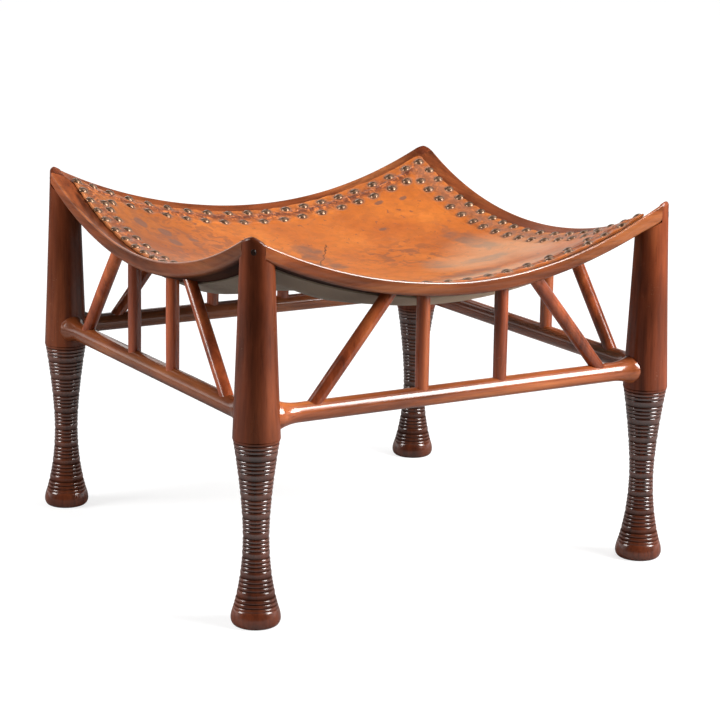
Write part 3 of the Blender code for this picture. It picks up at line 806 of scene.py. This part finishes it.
outer_nails_mm = {
    "front": (-178, -159, -138, -118, -97, -76, -54, -32, -9, 12, 34, 54, 76, 98, 119, 140, 158, 177),
    "right": (-187, -167, -147, -127, -106, -83, -58, -34, -10, 12, 32, 51, 73, 95, 114, 134, 156, 174),
    "back": (-194, -178, -159, -139, -118, -99, -79, -59, -38, -16, 5, 27, 50, 72, 94, 115, 136, 156, 174),
    "left": (-195, -180, -163, -145, -126, -104, -81, -59, -40, -20, 0, 21, 42, 63, 84, 105, 126, 147, 165),
}
inner_nails_mm = {
    "front": (-160, -139, -118, -98, -78, -58, -38, -18, 1, 21, 43, 63, 85, 109, 129, 151),
    "right": (-151, -131, -110, -88, -65, -43, -22, -2, 19, 41, 60, 82, 104, 125, 146, 163),
    "back": (-168, -150, -129, -111, -91, -68, -46, -25, -2, 20, 42, 63, 84, 105, 125, 144),
    "left": (-163, -151, -133, -111, -91, -69, -50, -29, -8, 13, 34, 55, 76, 97, 118, 139, 158),
}
stray_nail_mm = (-167.0, 169.5)


row_only = (np.array([0.0, 1.0]), np.array([1.0, 0.0]))
nails_by_side = []
for turn, side in enumerate(sides):
    rows = np.vstack([nail_places(side, outer_nails_mm[side], outer_rows_mm[side]),
                      nail_places(side, inner_nails_mm[side], inner_rows_mm[side])])
    nails_by_side.append(turned_about_z(rows, turn) + leather_off_centre * row_only[turn % 2])
nails_by_side[3] = np.vstack([nails_by_side[3], np.array([stray_nail_mm]) * millimetre])
all_nails = np.vstack(nails_by_side)


def smooth_noise(x, y, size, seed):
    """Noise of values on a lattice of the given size, blended between by a cosine."""
    values = np.random.default_rng(seed).uniform(-1.0, 1.0, (noise_lattice, noise_lattice))
    across = x / size + noise_lattice / 2
    up = y / size + noise_lattice / 2
    column = np.floor(across).astype(int)
    row = np.floor(up).astype(int)
    right = 0.5 - 0.5 * np.cos(math.pi * (across - column))
    above = 0.5 - 0.5 * np.cos(math.pi * (up - row))
    low = values[row, column] * (1.0 - right) + values[row, column + 1] * right
    high = values[row + 1, column] * (1.0 - right) + values[row + 1, column + 1] * right
    return low * (1.0 - above) + high * above


def nail_nearness(x, y, width):
    """One at a nail, falling off like a bell over the given width."""
    near = np.zeros(x.shape)
    for nail_x, nail_y in all_nails:
        near = np.maximum(near, np.exp(-((x - nail_x) ** 2 + (y - nail_y) ** 2) / width**2))
    return near


def from_hide_middle(x, y):
    """How far out a plan point lies on the hide, which was nailed on a little off centre."""
    return np.maximum(abs(x - leather_off_centre[0]), abs(y - leather_off_centre[1]))


def row_distance(x, y, rows_mm):
    """How far out a row of nails runs near a plan point, blended from side to side at corners."""
    x = x - leather_off_centre[0]
    y = y - leather_off_centre[1]
    outs = np.stack([-y, x, y, -x])
    weights = np.exp((outs - outs.max(axis=0)) / corner_blend)
    rows = np.stack([rows_mm[side] * millimetre + row_lean_shares[side] * along
                     for side, along in zip(sides, (x, y, -x, -y))])
    return (weights * rows).sum(axis=0) / weights.sum(axis=0)


def leather_band(x, y):
    """How far a point lies in the doubled band that the nails hold."""
    fold = (row_distance(x, y, inner_rows_mm) - fold_inside_nails
            + fold_wander * smooth_noise(x, y, fold_wander_size, 3))
    return smooth_step(from_hide_middle(x, y), fold - fold_foot, fold + fold_crest)


def between_rows(x, y, width):
    """One halfway between the two rows of nails, falling off like a bell over a width."""
    middle = (row_distance(x, y, outer_rows_mm) + row_distance(x, y, inner_rows_mm)) / 2
    return np.exp(-(((from_hide_middle(x, y) - middle) / width) ** 2))


def leather_relief(x, y):
    """Relief of the hide's face: the doubled band, pulls at the nails, crumples and slack."""
    band = leather_band(x, y)
    ridge = between_rows(x, y, ridge_width)
    near = nail_nearness(x, y, pull_width)
    crumple = smooth_noise(x, y, crumple_size, 11) + 0.7 * smooth_noise(x, y, fine_crumple_size, 12)
    slack = smooth_noise(x, y, slack_size, 13)
    return (band_height * band + ridge_height * ridge * (1.0 - 0.6 * near) - pull_depth * near
            + crumple_height * crumple * band * (1.0 - 0.5 * near) + slack_height * slack * (1.0 - band))


def leather_stations():
    """Places across the seat: close together over the nailed band and further apart inside."""
    inside = np.linspace(0.0, band_start, 60)[:-1]
    band = np.linspace(band_start, leather_edge, 44)
    half = np.concatenate([inside, band])
    return np.concatenate([-half[:0:-1], half])


def leather_points():
    """Upper and lower faces of the hide on one grid, joined round a rounded, scalloped edge.

    The grid's corners are drawn in to quarter circles, and its edge goes out at each nail.
    """
    stations = leather_stations()
    x, y = np.meshgrid(stations, stations)
    out = np.maximum(abs(x), abs(y))
    straight = leather_edge - leather_corner_round
    past_x = np.maximum(abs(x) - straight, 0.0)
    past_y = np.maximum(abs(y) - straight, 0.0)
    drawn_in = np.maximum(past_x, past_y) / np.maximum(np.hypot(past_x, past_y), 1e-9)
    drawn_in = np.where((past_x > 0.0) & (past_y > 0.0), drawn_in, 1.0)
    x = np.sign(x) * (abs(x) - past_x * (1.0 - drawn_in))
    y = np.sign(y) * (abs(y) - past_y * (1.0 - drawn_in))
    plan_x = x + leather_off_centre[0]
    plan_y = y + leather_off_centre[1]
    outward = smooth_step(out, leather_edge - scallop_reach, leather_edge)
    drawn_out = (scallop_depth * (0.5 - nail_nearness(plan_x, plan_y, scallop_width))
                 + edge_wander * smooth_noise(x, y, edge_wander_size, 21))
    scallop = 1.0 + outward * drawn_out / leather_edge
    x = x * scallop + leather_off_centre[0]
    y = y * scallop + leather_off_centre[1]
    base = seat_base(x, y)
    for _ in range(3):
        base[1:-1, 1:-1] = (4.0 * base[1:-1, 1:-1] + base[:-2, 1:-1] + base[2:, 1:-1]
                            + base[1:-1, :-2] + base[1:-1, 2:]) / 8.0
    relief = leather_relief(x, y)
    edge_share = smooth_step(out, leather_edge - edge_round, leather_edge)
    edge_turn = 1.0 - np.sqrt(np.clip(1.0 - edge_share**2, 0.0, 1.0))
    upper = base + leather_thickness + relief - 0.45 * leather_thickness * edge_turn
    upper = np.maximum(upper, base + 0.5 * leather_thickness)
    return closed_layer(x, y, upper, base)


def two_sided_faces(count):
    """Faces of an upper grid, the grid below it turned over, and the wall that joins them."""
    upper = grid_quads(count, count)
    lower = upper[:, ::-1] + count * count
    ring = np.concatenate([np.arange(count), np.arange(1, count) * count + count - 1,
                           (count - 1) * count + np.arange(count - 2, -1, -1),
                           np.arange(count - 2, 0, -1) * count])
    following = np.roll(ring, -1)
    wall = np.column_stack([ring, ring + count * count, following + count * count, following])
    return np.vstack([upper, lower, wall]).tolist()


def closed_layer(x, y, upper, lower):
    """Points and faces of a layer between two surfaces that stand on one grid of plan points."""
    points = [np.stack([x, y, surface], axis=-1).reshape(-1, 3) for surface in (upper, lower)]
    return np.vstack(points), two_sided_faces(len(x))


crack_start = (33.0 * millimetre, 97.0 * millimetre)
crack_end = (-14.0 * millimetre, 26.0 * millimetre)
crack_wander = 12.0 * millimetre
crack_half_width = 0.3 * millimetre
crack_fades_at = 0.8 * millimetre


def crack_mask(finish):
    """A fine wandering crack: a thin line along one axis of a place turned and moved to it."""
    run = np.subtract(crack_end, crack_start)
    turned = finish.node_tree.nodes.new("ShaderNodeMapping")
    turned.vector_type = "TEXTURE"
    turned.inputs["Location"].default_value = (*crack_start, 0.0)
    turned.inputs["Rotation"].default_value = (0.0, 0.0, math.atan2(run[1], run[0]))
    plug(finish, own_place(finish), turned.inputs["Vector"])
    axes = finish.node_tree.nodes.new("ShaderNodeSeparateXYZ")
    plug(finish, turned.outputs["Vector"], axes.inputs[0])
    across = calculated(finish, "MULTIPLY_ADD", noise(finish, 60.0, 3.0), crack_wander,
                        axes.outputs["Y"])
    across = calculated(finish, "ABSOLUTE", calculated(finish, "ADD", across, -0.5 * crack_wander))
    thin = rescaled(finish, across, crack_half_width, crack_fades_at, 0.9, 0.0)
    along = rescaled(finish, axes.outputs["X"], 0.0, float(np.linalg.norm(run)), 0.0, 1.0)
    inside = ramp(finish, along, (0.0, 0.0), (0.05, 1.0), (0.95, 1.0), (1.0, 0.0))
    return mixed(finish, "MULTIPLY", 1.0, thin, inside)


along_hide = (1.0, 1.6, 1.0)
blot_stretch = (1.3, 1.6, 1.0)


def tan_leather():
    """Old tan hide: rubbed orange, with brown clouds, grey smudges, flecks, a dark band, a painted shade on
    the left and a painted sheen on the front right.
    """
    finish, shader = new_finish("worn_tan_leather", {"IOR": 1.45, "Specular IOR Level": 0.4})
    orange = ramp(finish, noise(finish, 13.0, 4.0, along_hide, 0.3), (0.30, (0.40, 0.092, 0.013)),
                  (0.50, (0.52, 0.134, 0.017)), (0.72, (0.62, 0.178, 0.025)))
    fine = ramp(finish, noise(finish, 150.0, 5.0, along_hide, 0.3, 7.0), (0.36, 0.88), (0.60, 1.03))
    colour = mixed(finish, "MULTIPLY", 0.8, orange, fine)
    # Painted shade: the far left of the hide is darkened browner.
    colour = mixed(finish, "MULTIPLY", stored(finish, "painted_left_shade"), colour, (0.76, 0.80, 1.0))
    blots = noise(finish, 105.0, 4.0, blot_stretch, 0.8, 3.0)
    mottled = mixed(finish, "MULTIPLY", 1.0, stored(finish, "mottled"),
                    ramp(finish, blots, (0.49, 0.0), (0.56, 0.90)))
    colour = mixed(finish, "MIX", mottled, colour, (0.27, 0.080, 0.026))
    ragged = calculated(finish, "ADD", stored(finish, "rubbed"),
                        noise(finish, 90.0, 6.0, blot_stretch, 0.8, 5.0))
    smudge = rescaled(finish, ragged, 0.86, 1.16, 0.0, 0.85)
    colour = mixed(finish, "MIX", smudge, colour, (0.190, 0.082, 0.050))
    spots = ramp(finish, noise(finish, 160.0, 3.0, along_hide, 0.4, 1.0), (0.645, 0.0), (0.675, 0.75))
    colour = mixed(finish, "MIX", spots, colour, (0.20, 0.066, 0.036))
    # Painted sheen: pale beige patches towards the front right stand for a reflection.
    colour = mixed(finish, "MIX", stored(finish, "painted_sheen"), colour, (0.88, 0.64, 0.42))
    band_tone = ramp(finish, noise(finish, 230.0, 4.0, (1.0, 1.3, 1.0), 0.8, 2.0),
                     (0.38, (0.12, 0.030, 0.012)), (0.52, (0.24, 0.062, 0.020)),
                     (0.62, (0.62, 0.175, 0.040)))
    colour = mixed(finish, "MIX", stored(finish, "band"), colour, band_tone)
    grime = ramp(finish, stored(finish, "near_nail"), (0.25, 0.0), (0.65, 0.8))
    colour = mixed(finish, "MIX", grime, colour, (0.25, 0.130, 0.085))
    colour = mixed(finish, "MIX", stored(finish, "raw_edge"), colour, (0.62, 0.22, 0.075))
    colour = mixed(finish, "MIX", crack_mask(finish), colour, (0.035, 0.014, 0.008))
    plug(finish, colour, shader.inputs["Base Color"])
    gloss = ramp(finish, noise(finish, 30.0, 5.0, shift=4.0), (0.3, 0.40), (0.7, 0.55))
    plug(finish, gloss, shader.inputs["Roughness"])
    grain = finish.node_tree.nodes.new("ShaderNodeTexVoronoi")
    grain.inputs["Scale"].default_value = 900.0
    plug(finish, own_place(finish), grain.inputs["Vector"])
    height = mixed(finish, "ADD", 0.35, noise(finish, 160.0, 6.0), grain.outputs["Distance"])
    set_bump(finish, shader, height, 0.35, 0.35 * millimetre)
    return finish


dark_band_width = 8.5 * millimetre
grime_width = 6.6 * millimetre
greyed_width = 12.0 * millimetre
raw_edge_starts = 2.6 * millimetre
raw_edge_full = 1.2 * millimetre
hide_points, hide_faces = leather_points()
hide = add_piece("seat_hide", hide_points, hide_faces, tan_leather(), "tan_leather", "seat_leather")
hide_x = hide_points[:, 0]
hide_y = hide_points[:, 1]
hide_out = from_hide_middle(hide_x, hide_y)
band_strength = np.select([hide_y > abs(hide_x), hide_x > abs(hide_y)], [1.1, 0.6], 0.85)
store_per_point(hide, "band", band_strength * between_rows(hide_x, hide_y, dark_band_width))
near_nails = nail_nearness(hide_x, hide_y, grime_width)
greyed = np.select([-hide_x > abs(hide_y), hide_x > abs(hide_y)], [0.30, 0.42], 0.0)
greyed = greyed * between_rows(hide_x, hide_y, greyed_width)
store_per_point(hide, "near_nail", np.maximum(near_nails, greyed))
raw_strength = np.where(-hide_x > abs(hide_y), 0.85, 0.15)
raw = smooth_step(hide_out, leather_edge - raw_edge_starts, leather_edge - raw_edge_full)
store_per_point(hide, "raw_edge", raw_strength * raw)


def patch(x, y, centre, reach):
    """One in a patch's middle, fading out towards its reach; sizes in millimetres."""
    away = np.hypot((x - centre[0] * millimetre) / reach[0], (y - centre[1] * millimetre) / reach[1])
    return np.clip(1.6 * (1.0 - away / millimetre), 0.0, 1.0)


def patches(places):
    """The strongest of several patches, each a centre and a reach."""
    return np.maximum.reduce([patch(hide_x, hide_y, centre, reach) for centre, reach in places])


blotches = (((-130, 128), (10, 14)), ((-131, 101), (9, 15)), ((-105, 116), (8, 8)),
            ((-150, 140), (9, 16)), ((127, 157), (7, 5)), ((151, 149), (6, 5)), ((102, 106), (7, 5)))
smudges = (((2, 74), (26, 56)), ((0, 18), (16, 24)), ((78, -35), (26, 46)), ((120, -60), (44, 26)),
           ((150, 20), (22, 90)), ((60, -120), (60, 46)), ((-120, -120), (50, 50)))
mottling = (((-110, 110), (90, 90)), ((-60, 40), (90, 70)), ((-150, 0), (50, 150)),
            ((0, -150), (200, 60)), ((80, 20), (60, 60)))
# Patches of painted shade on the far left of the hide, and of painted sheen, a pale reflection, towards its
# front right.
painted_shade_patches = (((-170, 130), (100, 130)), ((-180, 20), (50, 130)))
painted_sheen_patches = (((150, -50), (60, 90)), ((110, -60), (60, 60)), ((60, -150), (110, 35)))
store_per_point(hide, "rubbed", np.maximum(patches(blotches), 0.6 * patches(smudges)))
store_per_point(hide, "mottled", 0.25 + 0.75 * patches(mottling))
store_per_point(hide, "painted_left_shade", patches(painted_shade_patches))
store_per_point(hide, "painted_sheen", 0.26 * patches(painted_sheen_patches))


# Nails. Domed heads of darkened brass, about 9.4 mm across, in two rows along each side. They
# are set by hand, so their spacing and tilt wander a little.
nail_radius = 4.7 * millimetre
nail_height = 2.5 * millimetre
nail_lift = 0.1 * millimetre
nail_sink = 0.8 * millimetre
nail_seed = 7
nail_sides = 14
nail_turn = np.linspace(0.0, math.pi / 2, 5)


def leather_face(x, y):
    """Height of the hide's upper face at plan points."""
    return seat_base(x, y) + leather_thickness + leather_relief(x, y)


def nail_cluster(places, seed):
    """Domes at the given places, each square to the hide there but for a small tilt."""
    step = 1.5 * millimetre
    x, y = places[:, 0], places[:, 1]
    height = leather_face(x, y)
    slope_x = (leather_face(x + step, y) - leather_face(x - step, y)) / (2 * step)
    slope_y = (leather_face(x, y + step) - leather_face(x, y - step)) / (2 * step)
    tilt = np.random.default_rng(seed).normal(0.0, 0.06, (len(places), 2))
    normal = np.column_stack([tilt[:, 0] - slope_x, tilt[:, 1] - slope_y, np.ones(len(places))])
    normal /= np.linalg.norm(normal, axis=1)[:, None]
    first = np.cross(normal, [0.0, 1.0, 0.0])
    first /= np.linalg.norm(first, axis=1)[:, None]
    second = np.cross(normal, first)
    centre = np.column_stack([x, y, height + nail_lift])
    angle = 2.0 * math.pi * np.arange(nail_sides) / nail_sides
    ring = (np.cos(angle)[None, :, None] * first[:, None, :]
            + np.sin(angle)[None, :, None] * second[:, None, :])
    layers = [centre[:, None, :] + nail_radius * math.cos(bend) * ring
              + nail_height * math.sin(bend) * normal[:, None, :] for bend in nail_turn[:-1]]
    base = centre[:, None, :] + 0.9 * nail_radius * ring - nail_sink * normal[:, None, :]
    dome = np.concatenate([base] + layers, axis=1)
    tip = centre[:, None, :] + nail_height * normal[:, None, :]
    points = np.concatenate([dome, tip], axis=1)
    one = grid_quads(len(layers) + 1, nail_sides, closed_rows=True).tolist()
    top_row = len(layers) * nail_sides
    one += [[top_row + index, top_row + (index + 1) % nail_sides, points.shape[1] - 1]
            for index in range(nail_sides)]
    one.append(list(reversed(range(nail_sides))))
    faces = [[corner + number * points.shape[1] for corner in face]
             for number in range(len(places)) for face in one]
    return points.reshape(-1, 3), faces


def old_brass():
    """Darkened brass: brown, pitted, and uneven in tone and dullness."""
    finish, shader = new_finish("darkened_brass", {"Metallic": 0.7})
    pitting = noise(finish, 420.0, 4.0)
    tone = ramp(finish, pitting, (0.35, (0.13, 0.064, 0.036)), (0.70, (0.32, 0.190, 0.115)))
    plug(finish, tone, shader.inputs["Base Color"])
    plug(finish, ramp(finish, pitting, (0.3, 0.27), (0.7, 0.43)), shader.inputs["Roughness"])
    set_bump(finish, shader, pitting, 0.2, 0.2 * millimetre)
    return finish


brass = old_brass()
for turn, side in enumerate(sides):
    points, faces = nail_cluster(nails_by_side[turn], nail_seed + turn)
    add_piece(side + "_nails", points, faces, brass, "nail_heads")


# Lining and stuffing. Grey-beige cloth is tacked under the rails and bellies down below them,
# and a thin layer of hair lies between it and the leather.
lining_thickness = 1.5 * millimetre
lining_edge = outer_face - 22.0 * millimetre
lining_edge_gap = 0.4 * millimetre
lining_bulge = 8.9 * millimetre
tuck_height = 9.5 * millimetre
tuck_reach = 40.0 * millimetre
tuck_shift = 22.0 * millimetre
tuck_starts = 100.0 * millimetre
tuck_full = 200.0 * millimetre
tuck_fade = 12.0 * millimetre
padding_middle = 4.5 * millimetre
layer_gap = 0.3 * millimetre
lining_edge_drop = rail_face + rail_under_drop + lining_bulge
lining_sag = (seat_sag + rail_top_dish + padding_middle + lining_thickness + 2 * layer_gap
              - leather_gap - lining_edge_drop)


def lining_face(x, y):
    """Outer face of the lining: under the rails, then a shallow bowl like the seat above."""
    along, inward = nearest_rail(x, y)
    out = np.maximum(abs(x), abs(y))
    gain = rail_face_gain * (along / leg_axis) ** 2 * (out / inner_face) ** 2
    opening = seat_bowl(x, y, lining_edge_drop, lining_sag) - gain
    slack = (inward - (outer_face - lining_edge)) / (rail_width - (outer_face - lining_edge))
    tacked = lining_thickness + lining_edge_gap
    under_rail = rail_under_at(along, inward) - tacked - slack * (lining_bulge - tacked)
    tuck = np.exp(-(((abs(x) - abs(y) - tuck_shift) / tuck_reach) ** 2))
    tuck = tuck_height * tuck * smooth_step(-x - y, tuck_starts, tuck_full)
    tuck = tuck * smooth_step(inner_face - np.maximum(-x, -y), 0.0, tuck_fade)
    return np.where(inward < rail_width, under_rail, opening + tuck)


def layer_points(edge, count, upper, lower):
    """Closed layer on an even grid between an upper and a lower surface of (x, y)."""
    stations = np.linspace(-edge, edge, count)
    x, y = np.meshgrid(stations, stations)
    return closed_layer(x, y, upper(x, y), lower(x, y))


def plain_cloth(name, dark, light, thread):
    """Close plain-woven cloth: fine crossing threads, soft stains, a slight fuzz and a stored tone that
    carries painted light.
    """
    finish, shader = new_finish(name, {"Roughness": 0.92, "Sheen Weight": 0.15})
    stained = ramp(finish, noise(finish, 9.0, 5.0), (0.32, dark), (0.68, light))
    tone = calculated(finish, "ADD", 1.0, stored(finish, "tone_and_painted_light"))
    plug(finish, mixed(finish, "MULTIPLY", 1.0, stained, tone), shader.inputs["Base Color"])
    weave = []
    for direction in ("X", "Y"):
        wave = finish.node_tree.nodes.new("ShaderNodeTexWave")
        wave.bands_direction = direction
        wave.inputs["Scale"].default_value = 1.0 / thread
        wave.inputs["Distortion"].default_value = 0.6
        plug(finish, own_place(finish), wave.inputs["Vector"])
        weave.append(wave.outputs["Fac"])
    set_bump(finish, shader, mixed(finish, "MULTIPLY", 1.0, *weave), 0.4, 0.2 * millimetre)
    return finish


lining_grid = 81
lining_thread = 2.0 * millimetre
painted_light_from = -100.0 * millimetre
painted_light_to = 50.0 * millimetre
points, faces = layer_points(lining_edge, lining_grid,
                             lambda x, y: lining_face(x, y) + lining_thickness, lining_face)
lining_finish = plain_cloth("grey_beige_lining", (0.145, 0.105, 0.068), (0.235, 0.178, 0.120), lining_thread)
lining = add_piece("under_cloth", points, faces, lining_finish, "lining_cloth", "seat_lining")
# Painted light: the cloth is made much paler towards the right, where the lamps light it.
store_per_point(lining, "tone_and_painted_light", 2.4 * smooth_step(points[:, 0], painted_light_from, painted_light_to))
stuffing_grid = 61
stuffing_hair = 3.0 * millimetre
points, faces = layer_points(inner_face - 2 * layer_gap, stuffing_grid,
                             lambda x, y: seat_base(x, y) - layer_gap,
                             lambda x, y: lining_face(x, y) + lining_thickness + layer_gap)
stuffing_finish = plain_cloth("hair_stuffing", (0.12, 0.08, 0.05), (0.28, 0.21, 0.14), stuffing_hair)
stuffing = add_piece("seat_stuffing", points, faces, stuffing_finish, "padding", "seat_padding")


# Studio. A plain white floor that takes a faint shadow, with a white surround behind the stool
# and a dim room behind the camera, and softboxes on the left, on the right, overhead and behind.
floor_size = 30.0
floor_colour = (0.34, 0.34, 0.34)
front_floor_colour = (0.06, 0.06, 0.06)
near_floor_glow = 0.74
far_floor_glow = 0.95
near_floor_reach = 0.7
far_floor_reach = 1.9
sweep_front = 0.95
sweep_fade = 0.6
even_surround = 0.145
bright_reflection = 0.07
dim_reflection = 0.03
horizon_glow = 1.5
horizon_low = 0.13
horizon_high = 0.27
dim_from = -0.25
dim_to = 0.35


def towards_camera(source, material_or_world, start, end):
    """How far a place or direction lies towards the camera's side of the room, from 0 to 1."""
    along = material_or_world.node_tree.nodes.new("ShaderNodeVectorMath")
    along.operation = "DOT_PRODUCT"
    along.inputs[1].default_value = (math.sin(camera_azimuth), -math.cos(camera_azimuth), 0.0)
    plug(material_or_world, source, along.inputs[0])
    return rescaled(material_or_world, along.outputs["Value"], start, end, 0.0, 1.0)


def add_floor():
    """White floor: it glows to the camera alone, and still takes shadows."""
    half = floor_size / 2
    mesh = bpy.data.meshes.new("studio_floor")
    mesh.from_pydata([(-half, -half, 0.0), (half, -half, 0.0), (half, half, 0.0), (-half, half, 0.0)],
                     [], [(0, 1, 2, 3)])
    finish, shader = new_finish("white_floor", {"Roughness": 0.9, "Specular IOR Level": 0.0,
                                                "Emission Color": (1.0, 1.0, 1.0, 1.0)})
    place = own_place(finish)
    in_front = towards_camera(place, finish, sweep_front, sweep_front + sweep_fade)
    plug(finish, mixed(finish, "MIX", in_front, floor_colour, front_floor_colour),
         shader.inputs["Base Color"])
    reach = finish.node_tree.nodes.new("ShaderNodeVectorMath")
    reach.operation = "LENGTH"
    plug(finish, place, reach.inputs[0])
    glow = rescaled(finish, reach.outputs["Value"], near_floor_reach, far_floor_reach,
                    near_floor_glow, far_floor_glow)
    path = finish.node_tree.nodes.new("ShaderNodeLightPath")
    plug(finish, mixed(finish, "MULTIPLY", 1.0, path.outputs["Is Camera Ray"], glow),
         shader.inputs["Emission Strength"])
    mesh.materials.append(finish)
    floor = bpy.data.objects.new("studio_floor", mesh)
    bpy.context.scene.collection.objects.link(floor)


def add_surround():
    """World: white to the camera, even for light, and for reflections dim towards the camera's side and
    glowing low on the far side.
    """
    world = bpy.data.worlds.new("white_surround")
    bpy.context.scene.world = world
    world.use_nodes = True
    nodes = world.node_tree.nodes
    direction = nodes.new("ShaderNodeTexCoord").outputs["Generated"]
    dim_side = towards_camera(direction, world, dim_from, dim_to)
    upright = nodes.new("ShaderNodeSeparateXYZ")
    plug(world, direction, upright.inputs[0])
    horizon = rescaled(world, upright.outputs["Z"], horizon_low, horizon_high,
                       horizon_glow, bright_reflection)
    reflection = rescaled(world, dim_side, 0.0, 1.0, horizon, dim_reflection)
    path = nodes.new("ShaderNodeLightPath")
    level = rescaled(world, path.outputs["Is Glossy Ray"], 0.0, 1.0, even_surround, reflection)
    strength = rescaled(world, path.outputs["Is Camera Ray"], 0.0, 1.0, level, 1.0)
    background = nodes["Background"]
    background.inputs["Color"].default_value = (1.0, 1.0, 1.0, 1.0)
    plug(world, strength, background.inputs["Strength"])


def add_softbox(name, place, target, width, height, power):
    """Rectangular soft light at a place, facing a target."""
    lamp = bpy.data.lights.new(name, "AREA")
    lamp.shape = "RECTANGLE"
    lamp.size = width
    lamp.size_y = height
    lamp.energy = power
    light = bpy.data.objects.new(name, lamp)
    back = np.subtract(place, target)
    back = back / np.linalg.norm(back)
    right = np.cross([0.0, 0.0, 1.0], back)
    right = right / np.linalg.norm(right)
    up = np.cross(back, right)
    turn = Matrix(np.column_stack([right, up, back]).tolist()).to_4x4()
    light.matrix_world = Matrix.Translation(place) @ turn
    bpy.context.scene.collection.objects.link(light)


add_floor()
add_surround()
stool_middle = (0.0, 0.0, 0.2)
add_softbox("left_softbox", (-1.60, 0.45, 1.0), stool_middle, 0.7, 0.9, 28.0)
add_softbox("right_softbox", (1.12, -1.36, 1.20), (0.2, -0.2, 0.2), 0.8, 1.2, 70.0)
add_softbox("top_softbox", (1.0, 0.05, 1.85), stool_middle, 1.2, 1.2, 13.0)
add_softbox("back_softbox", (0.25, 1.70, 1.0), stool_middle, 1.0, 0.5, 4.0)

bpy.context.scene.view_settings.view_transform = "Standard"
